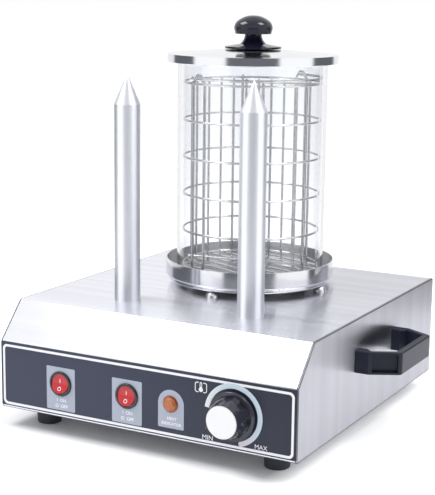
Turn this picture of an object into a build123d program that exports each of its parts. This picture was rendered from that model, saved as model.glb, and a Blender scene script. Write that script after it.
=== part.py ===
from build123d import *
from math import cos, radians, sin, sqrt
import os

# Hot dog spike toaster: a sheet steel casing with two heated bun spikes, and a water pan
# that carries a glass cylinder, a wire basket and a lid. Millimetres, +Z up, +Y to the rear.
# The origin is on the table, under the middle of the casing.

os.makedirs("parts", exist_ok=True)

# Casing, of folded sheet
case_width = 300.0
case_depth = 316.0
case_height = 96.3
front_height = 63.7
slope_run = 29.5
foot_gap = 17.0
sheet = 1.2
bend_radius = 2.2
side_edge_radius = 0.9
flange = 12.0
seam_gap = 0.4
edge_gap = 0.4
rear_screw_margin = 16.0
rear_screw_drop = 28.0
bottom_screw_margin = 58.0
casing_head = (3.8, 2.2)
casing_screw_length = 6.0
m4_nut = (7.0, 3.2)

# Control panel
overlay_height = 60.4
overlay_lip = 2.6
overlay_margin = 0.5
overlay_thickness = 0.6
overlay_corner = 1.0
control_height = 32.0
switch_spots = {"left": -83.5, "right": -13.6}
lamp_x = 30.4
knob_x = 91.0

# Rocker switches
bezel_radius = 11.5
bezel_thickness = 2.0
barrel_radius = 10.0
barrel_depth = 18.0
rocker_radius = 8.7
rocker_clearance = 0.6
rocker_tilt = 9.0
rocker_pivot_depth = 1.5
rocker_face_depth = 2.8
rocker_back_depth = 4.0
rocker_pin_radius = 1.2
pin_clearance = 0.05
panel_hole_clearance = 0.15

# Pilot lamp
lens_radius = 6.6
lens_flange = (7.4, 0.8)
lens_height = 4.0
lens_sides = 12
lamp_barrel_radius = 6.0
lamp_barrel_depth = 22.0

# Thermostat
knob_skirt_radius = 21.5
knob_skirt_thickness = 3.0
knob_grip_radius = 18.5
knob_stand_out = 21.4
knob_gap = 2.4
knob_flutes = 8
knob_flute_radius = 6.0
knob_flute_depth = 2.4
knob_cap_radius = 14.3
knob_cap_thickness = 1.2
shaft_radius = 3.0
shaft_flat = 0.9
bushing_radius = 5.0
thermostat_radius = 17.0
thermostat_depth = 28.0
thermostat_screw_spacing = 28.0
m3_shank_radius = 1.5
m3_head = (2.8, 1.4)
shaft_recess = 5.0
bulb_radius = 3.0
bulb_length = 70.0
bulb_stand_out = 12.0
bulb_cover = 1.2

# Water pan, heater and its clamp
pan_y = 44.4
pan_radius = 82.0
pan_height = 20.3
pan_lift = 5.7
pan_sheet = 1.0
pan_step_height = 5.0
pan_step = 2.5
heater_radius = 55.0
heater_depth = 15.0
heater_hole_clearance = 3.0
clamp_inner_radius = 30.0
clamp_flange_width = 9.0
clamp_sheet = 1.5
clamp_clearance = 6.0
dome_screw_circle = 76.0
dome_screw_radius = 6.0
small_shank_radius = 2.0

# Bun spikes
spike_spacing = 128.6
spike_y = -77.9
spike_radius = 12.0
spike_height = 207.7
spike_cone = 27.0
spike_tip_radius = 0.6
spigot_radius = 8.0
spigot_length = 14.0
cartridge_radius = 5.1
cartridge_length = 150.0
cartridge_clearance = 0.1
spike_nut_width = 24.0
spike_nut_height = 6.0
washer_thickness = 1.5

# Carrying handles
handle_y = 8.0
handle_wall_half = 50.0
handle_face_half = 36.0
handle_reach = 39.0
handle_shoulder = 13.0
handle_lift = 48.0
handle_height = 20.5
handle_band = 7.0
handle_pocket_depth = 4.6
handle_pocket_rim = 2.2
handle_screw_radius = 2.0
handle_corner = 4.0
handle_pocket_corner = 1.0
handle_edge = 1.4

# Feet
foot_margin_x = 32.0
foot_margin_y = 29.5
foot_radius = 12.0
foot_taper = 4.0
foot_washer_radius = 9.0
foot_washer_thickness = 1.2
foot_edge = 1.2

# Terminal block and cable gland in the rear
gland_x = -96.0
gland_lift = 32.0
gland_radius = 9.2
gland_crown = 4.0
gland_bore = 4.2
gland_stand_out = 22.0

# Glass cylinder, basket, bail and lid
glass_radius = 71.7
glass_wall = 2.6
glass_height = 215.0
seat_gap = 0.2
ring_radius = 65.5
ring_wire_radius = 1.1
wire_radius = 1.4
weld_bite = 0.35
ring_count = 6
ring_sides = 8
ring_pitch = 35.4
basket_floor_height = 13.0
arch_half_width = 8.5
arch_height = 11.0
arch_top_radius = 4.5
arch_bend_radius = 3.0
arch_angles = (66.0, 246.0)
upright_angles = (126.0, 186.0, 306.0, 348.0)
floor_bar_count = 8
floor_bar_radius = 1.15
floor_bar_angle = -20.0
divider_angle = 10.0
divider_wire_count = 10
divider_shift = 0.2
divider_wire_radius = 1.15
divider_tip = 3.0
bail_overhang = 0.8
bail_wire_radius = 1.3
bail_corner = 3.0
bail_hook = 9.0
bail_lift = 4.8
lid_radius = 81.6
lid_sheet = 1.0
lid_skirt = 7.9
lid_seat_width = 15.6
lid_rise = 5.2
lid_knob_flange = 27.0
lid_knob_radius = 18.4
lid_knob_neck = 8.0
lid_knob_height = 31.0
lid_knob_flange_edge = 1.8
lid_knob_foot = (12.8, 4.2)
lid_knob_waist = (9.2, 8.5)
lid_knob_cap_low = 13.7
lid_knob_cap_wide = 18.5
lid_knob_cap_lip = 1.2

# Places worked out from the sizes above
case_half = case_width / 2
front_y = -case_depth / 2
rear_y = case_depth / 2
bottom_z = foot_gap
break_z = bottom_z + front_height
top_z = bottom_z + case_height
slope_y = front_y + slope_run
inner_half = case_half - sheet
control_z = bottom_z + control_height
overlay_mid_z = bottom_z + overlay_lip + overlay_height / 2
handle_base = bottom_z + handle_lift
gland_z = bottom_z + gland_lift
handle_mid_z = handle_base + handle_height / 2
foot_x = case_half - foot_margin_x
foot_y = rear_y - foot_margin_y
bottom_screw_reach = rear_y - bottom_screw_margin
bail_radius = ring_radius + bail_overhang
floor_bar_pitch = 0.22 * ring_radius
divider_pitch = 0.192 * ring_radius
overlay_front = front_y - overlay_thickness
pan_floor_z = top_z + pan_lift
pan_inside_z = pan_floor_z + pan_sheet
glass_base_z = pan_inside_z + seat_gap
glass_top_z = glass_base_z + glass_height
glass_inner_radius = glass_radius - glass_wall
lid_seat_z = glass_top_z + seat_gap
low_ring_z = pan_inside_z + basket_floor_height
top_ring_z = low_ring_z + (ring_count - 1) * ring_pitch
case_profile = [
    (front_y, bottom_z),
    (front_y, break_z),
    (slope_y, top_z),
    (rear_y, top_z),
    (rear_y, bottom_z),
]


def front_plane(y, x=0.0, z=0.0):
    """A plane that faces the user, with local x to the right and local y up."""
    return Plane(origin=(x, y, z), x_dir=(1, 0, 0), z_dir=(0, -1, 0))


def rear_plane(y, x=0.0, z=0.0):
    """A plane that faces the rear, with local x along world X mirrored and local y up."""
    return Plane(origin=(x, y, z), x_dir=(-1, 0, 0), z_dir=(0, 1, 0))


def screws(face, spots, head_radius, head_height, shank_radius, shank_length):
    """Pan head screws: the heads stand on the face and the shanks go through it."""
    with BuildPart() as group:
        with BuildSketch(face):
            with Locations(*spots):
                Circle(head_radius)
        extrude(amount=head_height)
        crowns = group.edges().sort_by(Axis(face.origin, face.z_dir))[-len(spots) :]
        chamfer(crowns, head_height * 0.4)
        with BuildSketch(face):
            with Locations(*spots):
                Circle(shank_radius)
        extrude(amount=-shank_length)
    return group.part


def hex_nuts(face, spots, width, height, bore_radius):
    """Hexagon nuts whose seats lie on the face."""
    with BuildPart() as group:
        with BuildSketch(face):
            with Locations(*spots):
                RegularPolygon(width / 2, 6, major_radius=False)
                Circle(bore_radius, mode=Mode.SUBTRACT)
        extrude(amount=height)
    return group.part


# Folded sheet that makes the front, the slope, the top and the upper rear edge
pan_screw_spots = [
    (dome_screw_circle * cos(radians(a)), pan_y + dome_screw_circle * sin(radians(a)))
    for a in (0, 90, 180, 270)
]
spike_spots = [(-spike_spacing / 2, spike_y), (spike_spacing / 2, spike_y)]
thermostat_screw_spots = [
    (knob_x - thermostat_screw_spacing / 2, control_z),
    (knob_x + thermostat_screw_spacing / 2, control_z),
]
casing_screw_x = inner_half - flange / 2
rear_screw_heights = (bottom_z + rear_screw_margin, top_z - rear_screw_drop)
rear_screw_spots = [(sx * casing_screw_x, z) for sx in (-1, 1) for z in rear_screw_heights]
top_rear_screw_spots = [(sx * casing_screw_x, top_z - flange / 2) for sx in (-1, 1)]
casing_shank_hole = small_shank_radius + panel_hole_clearance

with BuildPart() as top_shell:
    with BuildSketch(Plane.YZ):
        with BuildLine():
            FilletPolyline(
                (front_y + flange, bottom_z),
                *case_profile[:4],
                (rear_y, top_z - flange),
                radius=bend_radius,
            )
            offset(amount=sheet, side=Side.RIGHT)
        make_face()
    extrude(amount=inner_half - seam_gap, both=True)
    with BuildSketch(front_plane(front_y)):
        with Locations(*[(x, control_z) for x in switch_spots.values()]):
            Circle(barrel_radius + panel_hole_clearance)
        with Locations((lamp_x, control_z)):
            Circle(lamp_barrel_radius + panel_hole_clearance)
        with Locations((knob_x, control_z)):
            Circle(bushing_radius + panel_hole_clearance)
        with Locations(*thermostat_screw_spots):
            Circle(casing_shank_hole)
    extrude(amount=-2 * sheet, mode=Mode.SUBTRACT)
    with BuildSketch(Plane.XY.offset(top_z)):
        with Locations((0, pan_y)):
            Circle(heater_radius + heater_hole_clearance)
        with Locations(*pan_screw_spots):
            Circle(casing_shank_hole)
        with Locations(*spike_spots):
            Circle(spigot_radius + panel_hole_clearance)
    extrude(amount=-2 * sheet, mode=Mode.SUBTRACT)
    with BuildSketch(front_plane(rear_y)):
        with Locations(*top_rear_screw_spots):
            Circle(casing_shank_hole)
    extrude(amount=2 * sheet, mode=Mode.SUBTRACT)
top_shell.part.label = "top_shell"
export_step(top_shell.part, "parts/top_shell.step")

# Side panels: trays whose folded rim carries the shell, the rear and the bottom
handle_screw_spots = [
    (handle_y + sy * (handle_wall_half - handle_band / 2), handle_mid_z) for sy in (-1, 1)
]
for side_name, side in (("left", -1), ("right", 1)):
    with BuildPart() as side_panel:
        with BuildSketch(Plane.YZ.offset(side * case_half)):
            with BuildLine():
                FilletPolyline(*case_profile, radius=bend_radius, close=True)
            make_face()
        extrude(amount=-side * sheet)
        outer_face = side_panel.faces().sort_by(Axis.X)[-1 if side > 0 else 0]
        fillet(outer_face.edges(), side_edge_radius)
        for inset, rim_mode in ((sheet, Mode.ADD), (2 * sheet, Mode.SUBTRACT)):
            with BuildSketch(Plane.YZ.offset(side * inner_half)):
                with BuildLine():
                    FilletPolyline(*case_profile, radius=bend_radius, close=True)
                make_face()
                offset(amount=-inset, kind=Kind.INTERSECTION)
            extrude(amount=-side * flange, mode=rim_mode)
        with BuildSketch(Plane.YZ.offset(side * case_half)):
            with Locations(*handle_screw_spots):
                Circle(handle_screw_radius + panel_hole_clearance)
        extrude(amount=-side * 2 * sheet, mode=Mode.SUBTRACT)
        with BuildSketch(front_plane(rear_y)):
            with Locations(*rear_screw_spots, *top_rear_screw_spots):
                Circle(casing_shank_hole)
        extrude(amount=3 * sheet, mode=Mode.SUBTRACT)
        with BuildSketch(Plane.XY.offset(bottom_z)):
            with Locations(*[(side * casing_screw_x, sy * bottom_screw_reach) for sy in (-1, 1)]):
                Circle(casing_shank_hole)
        extrude(amount=3 * sheet, mode=Mode.SUBTRACT)
    side_panel.part.label = f"side_panel_{side_name}"
    export_step(side_panel.part, f"parts/side_panel_{side_name}.step")

# Rear panel, screwed on the rims of the side panels, with vent slots and the cable hole
rear_edge_z = top_z - flange - edge_gap
vent_slot = (34.0, 4.0)
vent_pitch = 9.0
vent_count = 9
vent_x = 40.0
vent_lift = 10.0
gland_thread_radius = 7.8

with BuildPart() as rear_panel:
    with BuildSketch(rear_plane(rear_y)):
        with Locations((0, (bottom_z + rear_edge_z) / 2)):
            Rectangle(2 * (inner_half - seam_gap), rear_edge_z - bottom_z)
        with Locations((-gland_x, gland_z)):
            Circle(gland_thread_radius + panel_hole_clearance, mode=Mode.SUBTRACT)
        with Locations(*rear_screw_spots):
            Circle(casing_shank_hole, mode=Mode.SUBTRACT)
        with Locations((-vent_x, control_z + vent_lift)):
            with GridLocations(vent_pitch, 0, vent_count, 1):
                SlotOverall(*vent_slot, rotation=90, mode=Mode.SUBTRACT)
    extrude(amount=-sheet)
rear_panel.part.label = "rear_panel"
export_step(rear_panel.part, "parts/rear_panel.step")

# Bottom plate, under the rims of the side panels, with two rows of vent slots
bottom_front = front_y + flange + edge_gap
bottom_rear = rear_y - sheet - edge_gap
bottom_screw_spots = [
    (sx * casing_screw_x, sy * bottom_screw_reach) for sx in (-1, 1) for sy in (-1, 1)
]
foot_spots = [(sx * foot_x, sy * foot_y) for sx in (-1, 1) for sy in (-1, 1)]
bottom_vent_rows = 150.0

with BuildPart() as bottom_plate:
    with BuildSketch(Plane.XY.offset(bottom_z)):
        with Locations((0, (bottom_front + bottom_rear) / 2)):
            Rectangle(2 * (inner_half - seam_gap), bottom_rear - bottom_front)
        with Locations(*foot_spots, *bottom_screw_spots):
            Circle(casing_shank_hole, mode=Mode.SUBTRACT)
        with GridLocations(vent_pitch, bottom_vent_rows, vent_count, 2):
            SlotOverall(*vent_slot, rotation=90, mode=Mode.SUBTRACT)
    extrude(amount=sheet)
bottom_plate.part.label = "bottom_plate"
export_step(bottom_plate.part, "parts/bottom_plate.step")

# Screws of the rear panel, of the shell's rear edge and of the bottom plate
casing_screw = (*casing_head, small_shank_radius, casing_screw_length)
downward = Plane(origin=(0, 0, bottom_z), x_dir=(1, 0, 0), z_dir=(0, 0, -1))
with BuildPart() as casing_screws:
    add(screws(rear_plane(rear_y), rear_screw_spots + top_rear_screw_spots, *casing_screw))
    add(screws(downward, bottom_screw_spots, *casing_screw))
casing_screws.part.label = "casing_screws"
export_step(casing_screws.part, "parts/casing_screws.step")

# Printed film on the front, with the holes of the controls
with BuildPart() as control_overlay:
    with BuildSketch(front_plane(front_y)):
        with Locations((0, overlay_mid_z)):
            RectangleRounded(case_width - 2 * overlay_margin, overlay_height, overlay_corner)
        with Locations(*[(x, control_z) for x in switch_spots.values()]):
            Circle(barrel_radius + panel_hole_clearance, mode=Mode.SUBTRACT)
        with Locations((lamp_x, control_z)):
            Circle(lamp_barrel_radius + panel_hole_clearance, mode=Mode.SUBTRACT)
        with Locations((knob_x, control_z)):
            Circle(bushing_radius + panel_hole_clearance, mode=Mode.SUBTRACT)
        with Locations(*thermostat_screw_spots):
            Circle(m3_shank_radius + panel_hole_clearance, mode=Mode.SUBTRACT)
    extrude(amount=overlay_thickness)
control_overlay.part.label = "control_overlay"
export_step(control_overlay.part, "parts/control_overlay.step")

# Round rocker switches: a snap-in housing and a tilting rocker on two side pins, pressed at the top
cavity_depth = rocker_pivot_depth + rocker_back_depth + rocker_pin_radius
terminal_blade = (6.3, 0.8, 8.0)
tilt = radians(-rocker_tilt)
for switch_name, switch_x in switch_spots.items():
    seat = front_plane(overlay_front, switch_x, control_z)
    pivot = (switch_x, overlay_front + rocker_pivot_depth, control_z)
    with BuildPart() as switch_housing:
        with BuildSketch(seat):
            Circle(bezel_radius)
        extrude(amount=bezel_thickness)
        bezel_edge = switch_housing.edges().filter_by(GeomType.CIRCLE).sort_by(Axis.Y)[0]
        fillet(bezel_edge, bezel_thickness * 0.6)
        with BuildSketch(seat):
            Circle(barrel_radius)
        extrude(amount=-barrel_depth)
        with BuildSketch(seat.offset(bezel_thickness)):
            Circle(rocker_radius + rocker_clearance)
        extrude(amount=-(bezel_thickness + cavity_depth), mode=Mode.SUBTRACT)
        with BuildSketch(Plane(origin=pivot, z_dir=(1, 0, 0))):
            Circle(rocker_pin_radius + pin_clearance)
        extrude(amount=barrel_radius + sheet, both=True, mode=Mode.SUBTRACT)
        with BuildSketch(seat.offset(-barrel_depth)):
            with GridLocations(0, barrel_radius, 1, 2):
                Rectangle(terminal_blade[0], terminal_blade[1])
        extrude(amount=-terminal_blade[2])
    switch_housing.part.label = f"switch_housing_{switch_name}"
    export_step(switch_housing.part, f"parts/switch_housing_{switch_name}.step")

    lip = rocker_radius * sin(radians(rocker_tilt))
    with BuildPart() as switch_rocker:
        with BuildSketch(Plane(origin=pivot, x_dir=(0, cos(tilt), sin(tilt)), z_dir=(1, 0, 0))):
            with BuildLine():
                Polyline(
                    (-rocker_face_depth, 0),
                    (-rocker_face_depth - lip, rocker_radius),
                    (0, rocker_radius),
                    (rocker_back_depth, rocker_radius / 2),
                    (rocker_back_depth, -rocker_radius / 2),
                    (0, -rocker_radius),
                    (-rocker_face_depth - lip, -rocker_radius),
                    close=True,
                )
            make_face()
        extrude(amount=rocker_radius, both=True)
        with BuildSketch(Plane(origin=pivot, x_dir=(1, 0, 0), z_dir=(0, -cos(tilt), -sin(tilt)))):
            Circle(rocker_radius)
        extrude(amount=2 * rocker_radius, both=True, mode=Mode.INTERSECT)
        with BuildSketch(Plane(origin=pivot, z_dir=(1, 0, 0))):
            Circle(rocker_pin_radius)
        extrude(amount=barrel_radius - panel_hole_clearance, both=True)
    switch_rocker.part.label = f"switch_rocker_{switch_name}"
    export_step(switch_rocker.part, f"parts/switch_rocker_{switch_name}.step")

# Pilot lamp: a faceted lens on a barrel that a nut holds behind the panel
lamp_seat = front_plane(overlay_front, lamp_x, control_z)
lens_rim = 1.6
lamp_nut_width = 16.0
lamp_nut_height = 3.0
with BuildPart() as lamp_lens:
    with BuildSketch(lamp_seat):
        Circle(lens_flange[0])
    extrude(amount=lens_flange[1])
    with BuildSketch(lamp_seat):
        RegularPolygon(lens_radius, lens_sides)
    extrude(amount=lens_rim)
    with BuildSketch(lamp_seat.offset(lens_rim)):
        RegularPolygon(lens_radius, lens_sides)
    extrude(amount=lens_height - lens_rim, taper=45)
lamp_lens.part.label = "lamp_lens"
export_step(lamp_lens.part, "parts/lamp_lens.step")

with BuildPart() as lamp_body:
    with BuildSketch(lamp_seat):
        Circle(lamp_barrel_radius)
    extrude(amount=-lamp_barrel_depth)
    with BuildSketch(front_plane(front_y + sheet, lamp_x, control_z)):
        RegularPolygon(lamp_nut_width / 2, 6, major_radius=False)
    extrude(amount=-lamp_nut_height)
lamp_body.part.label = "lamp_body"
export_step(lamp_body.part, "parts/lamp_body.step")

# Capillary thermostat behind the panel, with its two screws, shaft, knob and knob cap
bracket = (38.0, 18.0, 1.5)
bushing_proud = 0.6
bore_depth = 20.0
bracket_seat = front_plane(front_y + sheet, knob_x, control_z)
with BuildPart() as thermostat_body:
    with BuildSketch(bracket_seat):
        Rectangle(bracket[0], bracket[1])
    extrude(amount=-bracket[2])
    with BuildSketch(bracket_seat):
        Circle(bushing_radius)
    extrude(amount=sheet + overlay_thickness + bushing_proud)
    with BuildSketch(bracket_seat.offset(-bracket[2])):
        Circle(thermostat_radius)
    extrude(amount=-thermostat_depth)
    with BuildSketch(bracket_seat.offset(sheet + overlay_thickness + bushing_proud)):
        Circle(shaft_radius + pin_clearance)
    extrude(amount=-bore_depth, mode=Mode.SUBTRACT)
    with BuildSketch(bracket_seat):
        with GridLocations(thermostat_screw_spacing, 0, 2, 1):
            Circle(m3_shank_radius + pin_clearance)
    extrude(amount=-bracket[2], mode=Mode.SUBTRACT)
thermostat_body.part.label = "thermostat_body"
export_step(thermostat_body.part, "parts/thermostat_body.step")

thermostat_screws = screws(
    front_plane(overlay_front),
    thermostat_screw_spots,
    *m3_head,
    m3_shank_radius,
    overlay_thickness + sheet + bracket[2],
)
thermostat_screws.label = "thermostat_screws"
export_step(thermostat_screws, "parts/thermostat_screws.step")

knob_base = front_plane(overlay_front - knob_gap, knob_x, control_z)
knob_depth = knob_stand_out - knob_gap
grip_depth = knob_depth - knob_skirt_thickness
shaft_start = bore_depth - bushing_proud - overlay_thickness - pin_clearance - sheet
shaft_seat = front_plane(front_y + sheet + shaft_start, knob_x, control_z)
shaft_length = shaft_start + sheet + overlay_thickness + knob_stand_out - shaft_recess
flat_length = knob_depth - shaft_recess
flat_offset = shaft_radius - shaft_flat
with BuildPart() as thermostat_shaft:
    with BuildSketch(shaft_seat):
        Circle(shaft_radius)
    extrude(amount=shaft_length)
    with BuildSketch(shaft_seat.offset(shaft_length - flat_length)):
        with Locations((0, flat_offset + shaft_radius)):
            Rectangle(3 * shaft_radius, 2 * shaft_radius)
    extrude(amount=flat_length, mode=Mode.SUBTRACT)
thermostat_shaft.part.label = "thermostat_shaft"
export_step(thermostat_shaft.part, "parts/thermostat_shaft.step")

knob_wall = 2.0
knob_boss_radius = 6.5
knob_front_radius = 15.1
with BuildPart() as thermostat_knob:
    with BuildSketch(knob_base):
        Circle(knob_skirt_radius)
    extrude(amount=knob_skirt_thickness)
    skirt_edge = thermostat_knob.edges().filter_by(GeomType.CIRCLE).sort_by(Axis.Y)[0]
    fillet(skirt_edge, knob_skirt_thickness * 0.6)
    with BuildSketch(knob_base.offset(knob_skirt_thickness)):
        Circle(knob_grip_radius)
    with BuildSketch(knob_base.offset(knob_depth)):
        Circle(knob_front_radius)
    loft()
    with BuildSketch(knob_base.offset(knob_skirt_thickness)):
        with PolarLocations(knob_grip_radius + knob_flute_radius - knob_flute_depth, knob_flutes):
            Circle(knob_flute_radius)
    extrude(amount=grip_depth, mode=Mode.SUBTRACT)
    with BuildSketch(knob_base.offset(knob_depth)):
        Circle(knob_cap_radius + pin_clearance)
    extrude(amount=-knob_cap_thickness, mode=Mode.SUBTRACT)
    with BuildSketch(knob_base):
        Circle(knob_front_radius - knob_wall)
        Circle(knob_boss_radius, mode=Mode.SUBTRACT)
    extrude(amount=flat_length, mode=Mode.SUBTRACT)
    with BuildSketch(knob_base):
        Circle(shaft_radius + pin_clearance)
        with Locations((0, flat_offset + pin_clearance + shaft_radius)):
            Rectangle(3 * shaft_radius, 2 * shaft_radius, mode=Mode.SUBTRACT)
    extrude(amount=flat_length + pin_clearance, mode=Mode.SUBTRACT)
thermostat_knob.part.label = "thermostat_knob"
export_step(thermostat_knob.part, "parts/thermostat_knob.step")

with BuildPart() as knob_cap:
    with BuildSketch(knob_base.offset(knob_depth)):
        Circle(knob_cap_radius)
    extrude(amount=-knob_cap_thickness)
    chamfer(knob_cap.edges().filter_by(GeomType.CIRCLE).sort_by(Axis.Y)[0], knob_cap_thickness * 0.3)
knob_cap.part.label = "knob_cap"
export_step(knob_cap.part, "parts/knob_cap.step")

# Disc heater under the pan, with a well for the thermostat's bulb, and the ring that clamps it
heater_floor_z = pan_floor_z - heater_depth
well_z = heater_floor_z + bulb_radius + bulb_cover
bulb_seat = front_plane(pan_y - heater_radius - bulb_stand_out, 0, well_z)
pan_axis = Axis((0, pan_y, 0), (0, 0, 1))
with BuildPart() as heater_disc:
    with BuildSketch(Plane.XY.offset(heater_floor_z)):
        with Locations((0, pan_y)):
            Circle(heater_radius)
    extrude(amount=heater_depth)
    with BuildSketch(bulb_seat):
        Circle(bulb_radius + panel_hole_clearance)
    extrude(amount=-(bulb_length + pin_clearance), mode=Mode.SUBTRACT)
heater_disc.part.label = "heater_disc"
export_step(heater_disc.part, "parts/heater_disc.step")

with BuildPart() as sensor_bulb:
    with BuildSketch(bulb_seat):
        Circle(bulb_radius)
    extrude(amount=-bulb_length)
sensor_bulb.part.label = "sensor_bulb"
export_step(sensor_bulb.part, "parts/sensor_bulb.step")

clamp_top_z = top_z - sheet
with BuildPart() as heater_clamp:
    with BuildSketch(front_plane(pan_y)):
        with BuildLine():
            Polyline(
                (dome_screw_circle + clamp_flange_width, clamp_top_z),
                (dome_screw_circle - clamp_flange_width, clamp_top_z),
                (heater_radius + clamp_clearance, heater_floor_z),
                (clamp_inner_radius, heater_floor_z),
            )
            offset(amount=clamp_sheet, side=Side.LEFT, kind=Kind.INTERSECTION)
        make_face()
    revolve(axis=pan_axis)
    with BuildSketch(Plane.XY.offset(clamp_top_z)):
        with Locations(*pan_screw_spots):
            Circle(casing_shank_hole)
    extrude(amount=-2 * clamp_sheet, mode=Mode.SUBTRACT)
    with BuildSketch(bulb_seat.offset(bulb_length)):
        Circle(bulb_radius + edge_gap)
    extrude(amount=-bulb_length - heater_radius, mode=Mode.SUBTRACT)
heater_clamp.part.label = "heater_clamp"
export_step(heater_clamp.part, "parts/heater_clamp.step")

# Four domed screws that carry the pan's rim and hold the clamp ring, and their nuts
dome_height = pan_lift - seat_gap / 2
pan_shank_length = sheet + clamp_sheet + m4_nut[1] + small_shank_radius
with BuildPart() as pan_screws:
    with BuildSketch(Plane.XY.offset(top_z)):
        with Locations(*pan_screw_spots):
            Circle(dome_screw_radius)
    extrude(amount=dome_height)
    fillet(pan_screws.edges().sort_by(Axis.Z)[-4:], dome_height * 0.95)
    with BuildSketch(Plane.XY.offset(top_z)):
        with Locations(*pan_screw_spots):
            Circle(small_shank_radius)
    extrude(amount=-pan_shank_length)
pan_screws.part.label = "pan_screws"
export_step(pan_screws.part, "parts/pan_screws.step")

pan_nuts = hex_nuts(
    Plane.XY.offset(clamp_top_z - clamp_sheet - m4_nut[1]),
    pan_screw_spots,
    *m4_nut,
    small_shank_radius + pin_clearance,
)
pan_nuts.label = "pan_nuts"
export_step(pan_nuts, "parts/pan_nuts.step")

# Water pan, drawn from sheet, with a stepped foot and a flat floor
with BuildPart() as water_pan:
    with BuildSketch(front_plane(pan_y)):
        with BuildLine():
            FilletPolyline(
                (0, pan_floor_z),
                (pan_radius - pan_step, pan_floor_z),
                (pan_radius - pan_step, pan_floor_z + pan_step_height - pan_step / 2),
                (pan_radius, pan_floor_z + pan_step_height),
                (pan_radius, pan_floor_z + pan_height),
                radius=pan_sheet * 1.2,
            )
            offset(amount=pan_sheet, side=Side.LEFT)
        make_face()
    revolve(axis=pan_axis)
water_pan.part.label = "water_pan"
export_step(water_pan.part, "parts/water_pan.step")

# Bun spikes, turned from bar, bored from below for a cartridge heater, with a threaded spigot
spigot_z = top_z - spigot_length
cartridge_bore = cartridge_radius + cartridge_clearance
lead_radius = 1.0
lead_length = 12.0
for (spike_x, spike_place_y), spike_name in zip(spike_spots, ("left", "right")):
    spike_seat = front_plane(spike_place_y, spike_x)
    spike_axis = Axis((spike_x, spike_place_y, 0), (0, 0, 1))
    with BuildPart() as spike:
        with BuildSketch(spike_seat):
            with BuildLine():
                Polyline(
                    (cartridge_bore, spigot_z),
                    (spigot_radius, spigot_z),
                    (spigot_radius, top_z),
                    (spike_radius, top_z),
                    (spike_radius, top_z + spike_height - spike_cone),
                    (spike_tip_radius, top_z + spike_height - spike_tip_radius),
                    (0, top_z + spike_height),
                    (0, spigot_z + cartridge_length + cartridge_clearance),
                    (cartridge_bore, spigot_z + cartridge_length + cartridge_clearance),
                    close=True,
                )
            make_face()
        revolve(axis=spike_axis)
    spike.part.label = f"spike_{spike_name}"
    export_step(spike.part, f"parts/spike_{spike_name}.step")

    with BuildPart() as cartridge_heater:
        with BuildSketch(Plane.XY.offset(spigot_z)):
            with Locations((spike_x, spike_place_y)):
                Circle(cartridge_radius)
        extrude(amount=cartridge_length)
        with BuildSketch(Plane.XY.offset(spigot_z)):
            with Locations((spike_x, spike_place_y)):
                with GridLocations(4 * lead_radius, 0, 2, 1):
                    Circle(lead_radius)
        extrude(amount=-lead_length)
    cartridge_heater.part.label = f"cartridge_heater_{spike_name}"
    export_step(cartridge_heater.part, f"parts/cartridge_heater_{spike_name}.step")

washer_z = top_z - sheet - washer_thickness
with BuildPart() as spike_washers:
    with BuildSketch(Plane.XY.offset(washer_z)):
        with Locations(*spike_spots):
            Circle(spike_nut_width / 2 + washer_thickness)
            Circle(spigot_radius + panel_hole_clearance, mode=Mode.SUBTRACT)
    extrude(amount=washer_thickness)
spike_washers.part.label = "spike_washers"
export_step(spike_washers.part, "parts/spike_washers.step")

spike_nuts = hex_nuts(
    Plane.XY.offset(washer_z - spike_nut_height),
    spike_spots,
    spike_nut_width,
    spike_nut_height,
    spigot_radius + pin_clearance,
)
spike_nuts.label = "spike_nuts"
export_step(spike_nuts, "parts/spike_nuts.step")

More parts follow.
